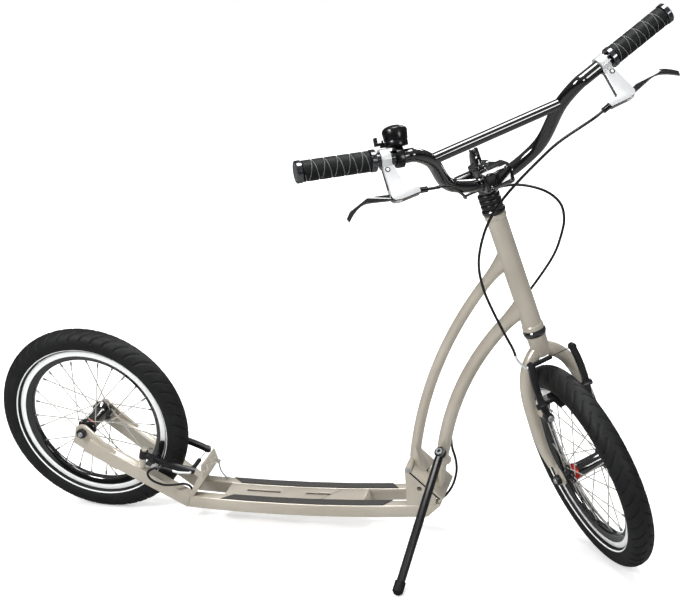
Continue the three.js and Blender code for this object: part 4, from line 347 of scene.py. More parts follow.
# A CAD node's own solid with merged corners and rounded edges, named after its node
def dressNode(node, material, body, bevelMm, smoothAngle=35, name=None):
    first, *rest = node.split("_")
    name = name or first + "".join(word.title() for word in rest)
    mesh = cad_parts[node].data.copy()
    mesh.materials.clear()
    mesh.materials.append(material)
    work = bmesh.new()
    work.from_mesh(mesh)
    bmesh.ops.remove_doubles(work, verts=work.verts, dist=1e-5)
    bmesh.ops.dissolve_limit(work, angle_limit=radians(0.8), verts=work.verts, edges=work.edges)
    for face in work.faces:
        face.material_index = 0
    work.to_mesh(mesh)
    work.free()
    mesh.name = name
    return settle(addObject(name, mesh), body, node, smoothAngle, bevelMm)


# Faces whose middle and direction pass a test in one of the part's frames get another material
def recolour(piece, material, place, test):
    index = len(piece.data.materials)
    piece.data.materials.append(material)
    back = place.inverted()
    for face in piece.data.polygons:
        if test(back @ (face.center * 1000), back.to_3x3() @ face.normal):
            face.material_index = index


# Tyres. Angles run round the section from the middle of the tread, in degrees
tyreSizes = {"radius": {"rear": 202.0, "front": 201.1}, "mirror": {"rear": -1, "front": 1}, "section": 23.1,
    "beadRadius": 160.2, "stripe": (132, 125.5), "flank": 119, "rows": 18, "around": 940, "tread": 78,
    "sipePitch": 27, "sipeDepth": 1.8, "sipeHalf": 1.7, "sipeStart": 0.12, "sipeSlant": 1.45, "sipeWall": 0.8,
    "ribAngle": 0.12, "ribHalf": 0.9, "ribDepth": 0.6, "darkFrom": 0.55}


# Swept sipes: they start slanted beside the middle rib and turn square to the side
def sipeDepth(turn, angle, sipes, mirror):
    size = tyreSizes
    share = min(abs(angle) / radians(size["tread"]), 1)
    shift = 0.5 if angle * mirror > 0 else 0.0
    phase = (turn * sipes / (2 * pi) + mirror * sin(share * pi / 2) + shift) % 1
    gap = min(phase, 1 - phase) * size["sipePitch"]
    slant = hypot(1, size["sipeSlant"] * cos(share * pi / 2))
    wall = (size["sipeHalf"] * slant - gap) / (size["sipeWall"] * slant) + 0.2
    sipe = min(1, max(0, wall)) if size["sipeStart"] < share < 1 else 0
    rib = max(0.0, 1 - abs(abs(angle) - size["ribAngle"]) * size["section"] / size["ribHalf"])
    return max(sipe, rib * size["ribDepth"])


def tyreShapes(prefix):
    section, around, rows, deep, darkFrom = pick(tyreSizes, "section around rows sipeDepth darkFrom")
    reach, mirror = tyreSizes["radius"][prefix], tyreSizes["mirror"][prefix]
    centre = reach - section
    openAngle = acos((tyreSizes["beadRadius"] - centre) / section)
    stripe = [radians(a) for a in tyreSizes["stripe"]]
    flank = radians(tyreSizes["flank"])
    right = [openAngle, (openAngle + stripe[0]) / 2, *stripe, *(flank * (1 - k / rows) for k in range(rows + 1))]
    angles = right + [-a for a in reversed(right[:-1])]
    sipes = round(2 * pi * reach / tyreSizes["sipePitch"])
    points, depths, places = [], [], []
    for i in range(around):
        turn = 2 * pi * i / around
        for angle in angles:
            depth = sipeDepth(turn, angle, sipes, mirror)
            radius = section - deep * depth
            out = centre + radius * cos(angle)
            points.append(Vector((out * cos(turn), radius * sin(angle), out * sin(turn))))
            depths.append(depth)
            places.append((turn * 0.2, angle * 0.023))
    count = len(angles)
    plain, band, grooves = [], [], []
    for i in range(around):
        a, b = i * count, ((i + 1) % around) * count
        for j in range(count - 1):
            face = (a + j, b + j, b + j + 1, a + j + 1)
            # Faces deep in the sipes and the rib get painted shade, the darker groove colour
            dark = sum(depths[k] for k in face) / 4 > darkFrom
            middle = abs(angles[j] + angles[j + 1]) / 2
            chosen = band if stripe[1] < middle < stripe[0] else grooves if dark else plain
            chosen.append(face)
        plain.append((a, a + count - 1, b + count - 1, b))
    return [(points, faces, places) for faces in (plain, band, grooves)]


# Rim outlines, as pairs of radius and place along the axle
rimSizes = {"radius": 159.6, "width": 24, "trackHeight": 11, "inner": 136, "innerWidth": 12, "bedHalf": 9.5,
    "wellHalf": 8.6, "wellDepth": 6, "lip": 1.5}


def rimProfiles():
    half, top, lip = rimSizes["width"] / 2, rimSizes["radius"], rimSizes["lip"]
    track, inner, innerHalf = top - rimSizes["trackHeight"], rimSizes["inner"], rimSizes["innerWidth"] / 2
    left = [(track, half), (track - 2.5, half - 1.2), (inner + 9, innerHalf + 4.2), (inner + 4, innerHalf + 2.4),
        (inner + 1.2, innerHalf), (inner, innerHalf * 0.5), (inner - 0.2, 0)]
    black = left + [(r, -y) for r, y in reversed(left[:-1])]
    bed, well, floor = rimSizes["bedHalf"], rimSizes["wellHalf"], top - rimSizes["wellDepth"]
    inside = [(top - lip, bed), (floor, well), (floor, -well), (top - lip, -bed)]
    wall = [(top - lip, half - 2.5), (top, half - 1.6), (top, half - 0.4), (top - 0.6, half), (track, half)]
    return black, inside, wall, [(r, -y) for r, y in wall][::-1]


hubSizes = {"rightFlange": 19, "leftFlange": 22, "flangeY": 34.5, "radius": 14, "bore": 13.2, "neck": 16,
    "band": {"front": 7.7, "rear": 3}}


def hubProfiles(prefix):
    y, right, left, hub, bore, neck = pick(hubSizes, "flangeY rightFlange leftFlange radius bore neck")
    shell = [(bore, -y - 3.6), (right - 5, -y - 3.6), (right - 3.4, -y - 2.4), (right - 0.4, -y - 1.7),
        (right, -y - 1.2), (right, -y + 1.2), (right - 0.5, -y + 1.7), (neck, -y + 3.4)]
    end = -y + 3.9 + hubSizes["band"][prefix]
    band = [(neck, -y + 3.4), (neck + 0.3, -y + 3.9), (neck + 0.3, end), (neck, end + 0.5)]
    rest = [(neck, end + 0.5), (hub + 0.6, -y + 14), (hub, -y + 16), (hub, y - 8), (hub + 2, y - 6.2),
        (left - 0.6, y - 1.9), (left, y - 1.2), (left, y + 1.2), (left - 0.5, y + 1.7), (left - 3.4, y + 2.4),
        (left - 5, y + 3.6), (bore, y + 3.6)]
    return shell, band, rest


spokeSizes = {"count": 28, "crossing": 6, "rimGap": 1.5, "rimSide": 3, "holeInset": 3, "holeSide": 2.2,
    "share": 0.965}
spokeInputs = {"Spoke Radius": 0.0011, "Nipple Radius": 0.0019, "Nipple Length": 0.008,
    "Spoke Material": spokeSteel, "Nipple Material": nippleNickel}


# Geometry Nodes: every edge of the base mesh becomes a spoke with a nipple at its rim end
def spokeTree():
    tree = bpy.data.node_groups.new("spokesAndNipples", "GeometryNodeTree")
    face = tree.interface
    face.new_socket("Geometry", in_out="INPUT", socket_type="NodeSocketGeometry")
    for label, value in spokeInputs.items():
        kind = "Float" if isinstance(value, float) else "Material"
        face.new_socket(label, in_out="INPUT", socket_type="NodeSocket" + kind)
    face.new_socket("Geometry", in_out="OUTPUT", socket_type="NodeSocketGeometry")
    given = addNode(tree, "NodeGroupInput").outputs
    lines = addNode(tree, "GeometryNodeMeshToCurve", None, {"Mesh": given["Geometry"]})
    section = addNode(tree, "GeometryNodeCurvePrimitiveCircle", {"Resolution": 6}, {"Radius": given["Spoke Radius"]})
    wires = addNode(tree, "GeometryNodeCurveToMesh", {"Fill Caps": True},
        {"Curve": lines, "Profile Curve": section})
    wireFinish = addNode(tree, "GeometryNodeSetMaterial", None,
        {"Geometry": wires, "Material": given["Spoke Material"]})
    nipple = addNode(tree, "GeometryNodeMeshCylinder", {"Vertices": 8}, {"Radius": given["Nipple Radius"],
        "Depth": given["Nipple Length"]})
    ends = addNode(tree, "GeometryNodeCurveEndpointSelection", {"Start Size": 0, "End Size": 1})
    tangent = addNode(tree, "GeometryNodeInputTangent")
    aim = addNode(tree, "FunctionNodeAlignRotationToVector", {"axis": "Z"}, {"Vector": tangent})
    placed = addNode(tree, "GeometryNodeInstanceOnPoints", None, {"Points": lines, "Selection": ends,
        "Instance": nipple, "Rotation": aim})
    solid = addNode(tree, "GeometryNodeRealizeInstances", None, {"Geometry": placed})
    nippleFinish = addNode(tree, "GeometryNodeSetMaterial", None,
        {"Geometry": solid, "Material": given["Nipple Material"]})
    both = addNode(tree, "GeometryNodeJoinGeometry")
    for finish in (wireFinish, nippleFinish):
        tree.links.new(finish.outputs[0], both.inputs[0])
    addNode(tree, "NodeGroupOutput", None, {"Geometry": both})
    return tree


spokesGroup = spokeTree()


def makeSpokes(name, place, body):
    size, count = spokeSizes, spokeSizes["count"]
    reach = rimSizes["inner"] - size["rimGap"]
    points, edges = [], []
    for i in range(count):
        side = -1 if i % 2 == 0 else 1
        lead = 1 if (i // 2) % 2 == 0 else -1
        rimAngle = 2 * pi * i / count
        hubAngle = rimAngle + lead * 2 * pi * size["crossing"] / count
        flange = hubSizes["rightFlange" if side < 0 else "leftFlange"] - size["holeInset"]
        foot = Vector((cos(hubAngle) * flange, side * (hubSizes["flangeY"] + lead * size["holeSide"]),
            sin(hubAngle) * flange))
        tip = Vector((cos(rimAngle) * reach, side * size["rimSide"], sin(rimAngle) * reach))
        edges.append((len(points), len(points) + 1))
        points += [foot, foot.lerp(tip, size["share"])]
    mesh = bpy.data.meshes.new(name)
    mesh.from_pydata([place @ p / 1000 for p in points], edges, [])
    piece = addObject(name, mesh)
    modifier = piece.modifiers.new("spokes", "NODES")
    modifier.node_group = spokesGroup
    for item in spokesGroup.interface.items_tree:
        if item.item_type == "SOCKET" and item.in_out == "INPUT" and item.name in spokeInputs:
            modifier[item.identifier] = spokeInputs[item.name]
    applied(piece)
    return settle(piece, body, None)


def hoops(profiles, steps, place, finishes):
    return [(loopPoints(profile, steps, direction=sideways), place, finish)
        for profile, finish in zip(profiles, finishes)]


def makeWheel(prefix, place):
    body = prefix + "_wheel"
    finishes = (tyreRubber, reflexBand, paintedGrooveShade)
    shapes = [(shape, place, finish) for shape, finish in zip(tyreShapes(prefix), finishes)]
    makePiece(prefix + "TyreBody", shapes, body, prefix + "_tyre", 60)
    shapes = hoops(rimProfiles(), 144, place, (glossBlack, satinBlack, machinedTrack, machinedTrack))
    makePiece(prefix + "RimHoop", shapes, body, prefix + "_rim", 40)
    shapes = hoops(hubProfiles(prefix), 48, place, (satinBlack, redAnodised, glossBlack))
    makePiece(prefix + "HubShell", shapes, body, prefix + "_hub_and_spokes", 30)
    makeSpokes(prefix + "Spokes", place, body)


nutFrom = 64.4
makeWheel("rear", scooter)
makeWheel("front", frontWheel)
for prefix, body, place in (("rear", "deck", scooter), ("front", "steering", frontWheel)):
    axle = dressNode(prefix + "_axle", satinBlack, body, 0.6, name=prefix + "AxleSet")
    recolour(axle, zincSteel, place, lambda p, n: abs(p.y) > nutFrom)
print("wheels made")


# Deck, stays, plates and hinge keep the CAD solids with rolled edges
frameEdges = {"left_deck_tube": 2.4, "right_deck_tube": 2.4, "left_stay": 1.6, "right_stay": 1.6, "deck_plate": 0.8,
    "rear_bridge_plate": 0.7, "hinge_base": 0.8}
for node, edge in frameEdges.items():
    dressNode(node, lacquer, "deck", edge)
dressNode("hinge_plate", lacquer, "column", 0.8)
# The seam between the hinge plates reads as a black line: painted shade in the gap, made as a thin black rubber strip
# on the lower plate
seamShade = prism([(6, -3.4), (84, -3.4), (84, -0.5), (6, -0.5)], -41.3, 41.3)
makePiece("hingeSeal", [(seamShade, hinge, softRubber)], "deck", None, 30)
dressNode("left_grip_strip", gritTape, "deck", 0.4)
dressNode("right_grip_strip", gritTape, "deck", 0.4)
dressNode("hinge_pin", zincSteel, "deck", 0.5)
dressNode("latch_lever", aluminium, "latch", 0.9)
dressNode("wire_catch", zincSteel, "wire_catch", 0.3)
print("deck made")


# Column: two curved oval tubes between the hinge plate and the head tube
columnSizes = {"rear": {"foot": 4.3, "top": 418.2, "radius": 830, "depth": 20, "breadth": 26},
    "front": {"foot": 75.2, "top": 321.5, "radius": 560, "depth": 25, "breadth": 30}, "thinDepth": 9, "thinTo": 0.2,
    "flareDepth": 42, "flareFrom": 0.86, "sides": 32, "stations": 48}


def columnArc(side):
    sizes = columnSizes[side]
    toScooter = scooter.inverted()
    foot = toScooter @ hinge @ Vector((sizes["foot"], 0, 0))
    top = toScooter @ columnHead @ Vector((0, 0, sizes["top"]))
    chord = top - foot
    forward = Vector((chord.z, 0, -chord.x)).normalized()
    centre = (foot + top) / 2 + forward * sqrt(sizes["radius"] ** 2 - chord.length_squared / 4)
    low, high = (degrees(atan2(p.z - centre.z, centre.x - p.x)) for p in (foot, top))
    return centre, sizes["radius"], low, high


def arcPoint(arc, turn):
    centre, radius = arc[:2]
    angle = radians(turn)
    return Vector((centre.x - radius * cos(angle), 0, centre.z + radius * sin(angle)))


def cutPiece(piece, shapes):
    tools = []
    for index, (shape, place) in enumerate(shapes):
        tool = makePiece("cutter%d" % index, [(shape, place, satinBlack)], None)
        tools.append(tool)
        setAll(piece.modifiers.new("cut", "BOOLEAN"), {"operation": "DIFFERENCE", "solver": "EXACT", "object": tool,
            "material_mode": "INDEX"})
    applied(piece)
    for tool in tools:
        bpy.data.objects.remove(tool)


# The tube runs past both ends and is cut by the head tube's bore, the hinge plate and its knuckles
def columnTube(side):
    arc = columnArc(side)
    low, high = arc[2:]
    thinDepth, thinTo, flareDepth, flareFrom, sides, stations = pick(columnSizes,
        "thinDepth thinTo flareDepth flareFrom sides stations")
    points, halves = [], []
    for i in range(stations + 1):
        share = i / stations
        points.append(arcPoint(arc, low + (high - low) * share))
        depth, breadth = pick(columnSizes[side], "depth breadth")
        if side == "front" and share < thinTo:
            depth = thinDepth + (depth - thinDepth) * share / thinTo
        if share > flareFrom:
            depth += (flareDepth - depth) * ((share - flareFrom) / (1 - flareFrom)) ** 2
        halves.append((breadth / 2, depth / 2))
    shape = tubeAlong(points, halves, sides, across=sideways)
    tube = makePiece(side + "ColumnTube", [(shape, scooter, lacquer)], None)
    bore = loopPoints([(0, 200), (17, 200), (17, 560), (0, 560)], 40)
    wedge = prism([(-90, -200), (200, -200), (200, 4.3), (-90, 4.3)], -60, 60)
    beyond = prism([(0, 150), (120, 150), (120, 600), (0, 600)], -60, 60)
    knuckle = loopPoints([(0, -45), (7, -45), (7, 45), (0, 45)], 24, direction=sideways)
    cutPiece(tube, [(bore, columnHead), (wedge, hinge), (beyond, columnHead), (knuckle, hinge)])
    settle(tube, "column", side + "_column_tube")


columnTube("rear")
columnTube("front")

# Kickstand lug on the column, a round boss with its bolt, and the gusset between plate and front tube
standPlace = {"pivot": Vector((731.5, -33, 8)), "down": Vector((-0.128, -0.798, -0.588)).normalized(),
    "back": Vector((-0.93, -0.15, -0.33)).normalized(), "lugFoot": 4.8, "boltFoot": -5.3}
standAxis = standPlace["down"].cross(standPlace["back"]).normalized()
lugFoot, boltFoot = (standPlace["pivot"] + standAxis * standPlace[k] for k in ("lugFoot", "boltFoot"))
lug = loopPoints([(0, 0), (9.2, 0), (10, 0.8), (10, 28), (0, 28)], 36, lugFoot, standAxis)
lugBolt = loopPoints([(0, 0), (3.5, 0), (3.5, 9.6), (0, 9.6)], 16, lugFoot, -standAxis)
makePiece("kickstandLug", [(lug, scooter, lacquer), (lugBolt, scooter, zincSteel)], "column", None, 30)
gusset = prism([(7, 4.45), (-20, 26), (-20, 36), (12, 13), (30.2, 4.45)], -15, 15)
makePiece("hingeGusset", [(gusset, hinge, lacquer)], "column", None, 35, 1.0)

headProfile = [(15.5, 273.6), (19, 273.6), (19.5, 274.2), (19.5, 280.8), (19, 281.6), (18, 283), (18, 490),
    (19, 491.6), (19.5, 492.4), (19.5, 499), (19, 499.6), (15.5, 499.6), (15.5, 273.6)]
makePiece("headTube", [(loopPoints(headProfile, 64), columnHead, lacquer)], "column", "head_tube", 30)
cupPlaces = {"lower": (262.6, 273.3), "upper": (499.9, 510.6)}
for side, (low, high) in cupPlaces.items():
    rise = high - low
    profile = [(13.5, low), (18.4, low), (20.2, low + rise * 0.18), (21, low + rise * 0.3), (21, high - rise * 0.3),
        (20.2, high - rise * 0.18), (18.4, high), (13.5, high), (13.5, low)]
    makePiece(side + "HeadsetCup", [(loopPoints(profile, 56), columnHead, glossBlack)], "column",
        side + "_headset_cup", 30)
print("column made")


# Fork: crown, steerer, two bowed legs, their ends and the brake posts. A leg's stations are shares of
# the rake, the spread and the height, with the radius there
forkSizes = {"spread": 59, "rake": 34, "crownTop": 261.5, "crownMiddle": 238, "neck": 17.5, "steerer": 13,
    "steererTop": 590.9, "perSpan": 8, "legs": [(0, 0.08, 0.985, 12.5), (0, 0.4, 0.925, 12.5), (0, 0.67, 0.84, 12),
    (0.06, 0.87, 0.7, 12), (0.12, 0.96, 0.46, 12), (0.3, 1, 0.24, 10), (0.6, 0.96, 0.1, 8)]}
forkEnd = {"radius": 12.8, "from": -144, "span": 198, "steps": 22, "toLeg": [(-15.3, 34), (-23.3, 34)],
    "inner": {1: 50, -1: -56}, "thickness": 6, "hole": 5.6, "rim": 0.5}
brakePost = {"spread": 42, "rise": 128, "radius": 7.5, "bridge": 11.1,
    "boss": [(0, 0), (7.5, 0), (7.5, 35.2), (6.9, 36), (0, 36)], "stud": [(0, 34), (4, 34), (4, 56), (0, 56)],
    "head": [(0, 53.8), (5.4, 53.8), (6, 54.4), (6, 57), (5.4, 57.8), (3, 57.8), (2.6, 56.4), (0, 56.4)]}


def forkEndShapes(side):
    start, span, steps, radius, thickness, hole, rim = pick(forkEnd, "from span steps radius thickness hole rim")
    low, high = forkEnd["inner"][side], forkEnd["inner"][side] + thickness
    angles = [radians(start + span * i / steps) for i in range(steps + 1)]
    outline = [(radius * cos(a), radius * sin(a)) for a in angles]
    ring = [(hole, low - rim), (hole, high + rim)]
    return [(prism(outline + forkEnd["toLeg"], low, high), frontWheel, lacquer),
        (loopPoints(ring, 32, direction=sideways), frontWheel, satinBlack)]


def brakePostShapes(side):
    foot, forward = (0, side * brakePost["spread"], frontAxle.z + brakePost["rise"]), (1, 0, 0)
    radius, length = brakePost["radius"], brakePost["bridge"]
    bridge = loopPoints([(0, 0), (radius, 0), (radius, length), (0, length)], 28, foot, (0, side, 0))
    return [(loopPoints(brakePost["boss"], 28, foot, forward), steering, lacquer),
        (loopPoints(brakePost["stud"], 20, foot, forward), steering, zincSteel),
        (loopPoints(brakePost["head"], 6, foot, forward), steering, zincSteel), (bridge, steering, lacquer)]


def forkShapes():
    middle, neck, top, steerer, end, perSpan, rake, spread = pick(forkSizes,
        "crownMiddle neck crownTop steerer steererTop perSpan rake spread")
    crown = [(0, middle - neck), (neck * 0.75, middle - neck), (neck * 0.94, middle - neck * 0.5), (neck, middle),
        (neck, top - 3), (neck * 1.08, top - 1.4), (neck * 1.1, top), (steerer, top), (steerer, end), (0, end)]
    shapes = [(loopPoints(crown, 48), steering, lacquer)]
    for side in (-1, 1):
        stations = [(Vector((rake * f, side * spread * s, frontAxle.z + (middle - frontAxle.z) * r)), radius)
            for f, s, r, radius in forkSizes["legs"]]
        path = smoothPath([p for p, r in stations], perSpan)
        radii = []
        for i in range(len(path)):
            index = min(i // perSpan, len(stations) - 2)
            share = (i - perSpan * index) / perSpan
            value = stations[index][1] * (1 - share) + stations[index + 1][1] * share
            radii.append((value, value))
        shapes.append((tubeAlong(path, radii, 24, across=(1, 0, 0)), steering, lacquer))
        shapes += forkEndShapes(side) + brakePostShapes(side)
    return shapes


makePiece("forkCrownAndLegs", forkShapes(), "steering", "fork", 40)
print("fork made")


# Handlebar with its crossbar. A station is its shares of the forward reach, the rise and the half width
barSizes = {"centre": (60, 0, 575.9), "forward": 98, "rise": 162, "half": 332, "radius": 11.1, "cross": 9,
    "knee": 3, "crossSteps": 6, "shares": [(0, 0, 0.085), (0, 0, 0.1), (0.2, 0.154, 0.255), (0.8, 0.556, 0.362),
    (1.04, 0.709, 0.451), (1.039, 0.725, 0.4815), (1, 1, 1)]}


def barPoint(side, station=-1):
    x, _, z = barSizes["centre"]
    forward, rise, half = barSizes["shares"][station]
    return Vector((x + barSizes["forward"] * forward, side * barSizes["half"] * half, z + barSizes["rise"] * rise))


def barOut(side):
    return (barPoint(side) - barPoint(side, -2)).normalized()


def makeBar():
    stations, knee, steps = range(len(barSizes["shares"])), barSizes["knee"], barSizes["crossSteps"]
    path = [*(barPoint(-1, i) for i in reversed(stations)), Vector(barSizes["centre"]),
        *(barPoint(1, i) for i in stations)]
    cross = [barPoint(-1, knee).lerp(barPoint(1, knee), i / steps) for i in range(steps + 1)]
    shapes = [(tubeAlong(smoothPath(path, 10), barSizes["radius"], 28), steering, glossBlack),
        (tubeAlong(cross, barSizes["cross"], 24), steering, glossBlack)]
    makePiece("handlebarTube", shapes, "steering", "handlebar", 40)


makeBar()
spacers = {"feet": (510.9, 519.9, 528.9), "end": 537.9, "bore": 13.3}
profile = [(spacers["bore"], spacers["feet"][0])]
for foot in spacers["feet"]:
    profile += [(17.6, foot), (18.9, foot + 0.9), (19.5, foot + 2), (19.5, foot + 7), (18.9, foot + 8.1),
        (17.6, foot + 9)]
profile += [(spacers["bore"], spacers["end"]), profile[0]]
makePiece("headsetSpacers", [(loopPoints(profile, 56), steering, satinBlack)], "steering", "headset_spacers",
    30)
dressNode("stem", glossBlack, "steering", 1.2, name="stemBody")
dressNode("stem_faceplate", glossBlack, "steering", 1.0)
dressNode("stem_quick_lever", glossBlack, "quick_lever", 1.2)
print("handlebar and stem made")


# Grips with their collars, in a frame along each bar end
gripSizes = {"length": 126, "radius": 16.4, "bore": 12.9, "collar": 17.5, "collarBore": 11.6, "collarWidth": 9,
    "pitch": 20, "grooveHalf": 0.7, "grooveDepth": 0.9, "bareEdge": 2, "endDrop": 0.96, "seat": 0.3,
    "stations": 190, "sides": 96, "plug": 4.5}


# Two crossing helical grooves, which meet at the top and bottom of the side that the camera sees
def gripShapes(start, along):
    width, pitch, stations, sides, seat, outer, half, cut = pick(gripSizes,
        "collarWidth pitch stations sides seat radius grooveHalf grooveDepth")
    low, high = width + seat, gripSizes["length"] - width - seat
    upward = steering.to_3x3().inverted() @ Vector((0, 0, 1))
    upward = (upward - along * upward.dot(along)).normalized()
    across = along.cross(upward)
    points, depths, places = [], [], []
    for i in range(stations + 1):
        reach = low + (high - low) * i / stations
        edge = min(reach - low, high - reach)
        body = outer - max(0, 1.2 - edge) * 0.8
        for k in range(sides):
            turn = k / sides
            gaps = [((reach / pitch + sign * turn) % 1) for sign in (-1, 1)]
            gap = min(min(g, 1 - g) for g in gaps) * pitch
            wall = (half + 0.5 - gap) / 0.7
            depth = min(1, max(0, wall)) if edge > gripSizes["bareEdge"] else 0
            radius = body - cut * depth
            angle = 2 * pi * turn
            points.append(start + along * reach + (upward * cos(angle) + across * sin(angle)) * radius)
            depths.append(depth)
            places.append((reach / 1000, angle * 0.016))
    plain, lines = [], []
    for face in ringFaces(stations, sides):
        (lines if sum(depths[j] for j in face) > 3.2 else plain).append(face)
    bore, rim = gripSizes["bore"], outer - gripSizes["endDrop"]
    ends = loopPoints([(bore, low), (rim, low)], sides, start, along)
    tail = loopPoints([(rim, high), (bore, high)], sides, start, along)
    return (points, plain, places), (points, lines, places), ends, tail


def collarProfile(low, high):
    radius, bore = gripSizes["collar"], gripSizes["collarBore"]
    return [(bore, low), (radius - 1, low), (radius, low + 1), (radius, high - 1), (radius - 1, high), (bore, high),
        (bore, low)]


def makeGrip(side, name):
    along = barOut(side)
    start = barPoint(side) - along * gripSizes["length"]
    plain, lines, *ends = gripShapes(start, along)
    makePiece(name + "Grip", [(plain, steering, softRubber), (lines, steering, grooveInk),
        *((end, steering, softRubber) for end in ends)], "steering", name + "_grip", 40)
    width, length, bore, plug = pick(gripSizes, "collarWidth length collarBore plug")
    low, high = length - 0.6, length - 0.2
    rings = [(collarProfile(0, width), 56, smokedChrome), (collarProfile(length - width, length), 56, smokedChrome),
        ([(plug, low), (bore, low), (bore, high), (plug, high)], 40, aluminium),
        ([(0, low), (plug, low), (plug, length - 0.4), (0, length - 0.4)], 24, satinBlack)]
    makePiece(name + "GripCollars", [(loopPoints(profile, steps, start, along), steering, finish)
        for profile, steps, finish in rings], "steering", name + "_grip_collars")


leverSizes = {"reach": 196, "across": (0.577, 0, -0.817), "clampReach": 15, "half": 6, "bladeHighlightFrom": 30,
    "barrel": [(-53.3, 61, 0), (-71, 61, 0)]}
clampBolt = {"place": (1.5, 21.5, 0), "rise": 1.4, "hole": 2.6, "radius": 4.2, "sink": 0.3, "depth": 2.2}


def leverFrame(side):
    out = barOut(side)
    place = barPoint(side) - out * ((barSizes["half"] - leverSizes["reach"]) / abs(out.y))
    return axesFrame(Matrix.Identity(4), place, out, leverSizes["across"])


# The clamp is bare metal, its side faces painted black as a dark reflection; the blade is black, its front faces
# painted bare metal as a highlight
def makeLever(side, name):
    place = steering @ leverFrame(side)
    perch = dressNode(name + "_lever_perch", aluminium, "steering", 1.5)
    # Side faces beyond the clamp: painted dark reflection on the bare metal
    recolour(perch, glossBlack, place, lambda p, n: p.y > leverSizes["clampReach"] and abs(n.z) < 0.97)
    blade = dressNode(name + "_brake_lever", glossBlack, name + "_brake_lever", 1.0)
    # Front faces of the blade: painted highlight in bare metal colour
    recolour(blade, aluminium, place, lambda p, n: n.y < -0.7 and p.x > leverSizes["bladeHighlightFrom"])
    hole, radius = clampBolt["hole"], clampBolt["radius"]
    for label, inward in (("Inner", 1), ("Outer", -1)):
        face = -inward * (leverSizes["half"] + clampBolt["rise"])
        floor, deep = (face + inward * clampBolt[k] for k in ("sink", "depth"))
        cap = loopPoints([(0, face), (hole, face), (hole, floor)], 24, clampBolt["place"])
        ring = loopPoints([(hole, floor), (radius, floor), (radius, deep)], 24, clampBolt["place"])
        shapes = [(cap, place, aluminium), (ring, place, glossBlack)]
        makePiece(name + label + "ClampBolt", shapes, "steering", None)


for side, name in ((1, "left"), (-1, "right")):
    makeGrip(side, name)
    makeLever(side, name)
dressNode("bell_base", mouldedPlastic, "steering", 0.5)
dressNode("bell_dome", mouldedPlastic, "steering", 0.6, 50)
dressNode("bell_thumb_lever", mouldedPlastic, "bell_thumb_lever", 0.7)
print("grips and levers made")


# Rim brakes, each in a frame that looks from the axle towards the brake
brakeSizes = {"reach": 232, "spread": 42, "endRadius": 7, "tube": 2.4, "rearAngle": -16, "rearOffset": 12,
    "frontOffset": 11}
rearBrake = axesFrame(scooter, (0, 0, 0), heading(brakeSizes["rearAngle"]), sideways)
frontBrake = axesFrame(steering, frontAxle, heading(90), sideways)
brakePlaces = {"rear": (rearBrake @ Matrix.Translation((0, 0, -brakeSizes["rearOffset"])), -1),
    "front": (frontBrake @ Matrix.Translation((0, 0, -brakeSizes["frontOffset"])), 1)}
bootSizes = {"length": 34, "ribs": 9, "radius": 4.4, "waist": 3.7, "bore": 2.9}


def bootProfile():
    length, ribs, radius, waist, bore = pick(bootSizes, "length ribs radius waist bore")
    profile = [(bore, 0), (4.2, 0)]
    step = (length - 2) / ribs
    for i in range(ribs):
        low = 1 + (length - 2) * i / ribs
        profile += [(waist, low), (radius, low + step * 0.35), (radius, low + step * 0.65), (waist, low + step * 0.98)]
    return profile + [(4.0, length), (bore, length), (bore, 0)]


for prefix, (place, bend) in brakePlaces.items():
    for side in ("left", "right"):
        arm = prefix + "_" + side
        dressNode(arm + "_brake_arm", satinBlack, arm + "_arm", 0.9)
        dressNode(arm + "_brake_pad", softRubber, arm + "_arm", 0.6)
    reach, spread, endRadius, tube = pick(brakeSizes, "reach spread endRadius tube")
    outer = spread / 2
    route = [(reach, -spread + endRadius + 1.5, 0), (reach, -spread, 0), (reach, -spread - endRadius, 0),
        (reach, -spread - endRadius - tube, 0), (reach + bend * outer * 0.25, -spread - outer * 0.6, 0),
        (reach + bend * outer, -spread - outer * 0.95, 0), (reach + bend * outer * 1.5, -spread - outer, 0)]
    shapes = [(tubeAlong(smoothPath(route, 8), tube, 16), place, aluminium),
        (loopPoints(bootProfile(), 28, (reach, -spread + endRadius + 0.3, 0), sideways), place, softRubber)]
    makePiece(prefix + "CableTubeAndBoot", shapes, prefix + "_right_arm", prefix + "_brake_noodle", 40)
print("brakes made")

# Kickstand
dressNode("kickstand_leg", satinBlack, "kickstand", 0.6)
dressNode("kickstand_foot", softRubber, "kickstand", 0.8)
boltRing = [(0, 0), (6.6, 0), (7, 0.5), (7, 1.4), (5.8, 3.9), (4.2, 4), (3.6, 3.4), (3.6, 2.4)]
shapes = [(loopPoints(boltRing, 32, boltFoot, -standAxis), scooter, zincSteel),
    (loopPoints([(3.6, 2.4), (0, 2.4)], 32, boltFoot, -standAxis), scooter, satinBlack)]
makePiece("kickstandBolt", shapes, "column", "kickstand_bolt", 30)

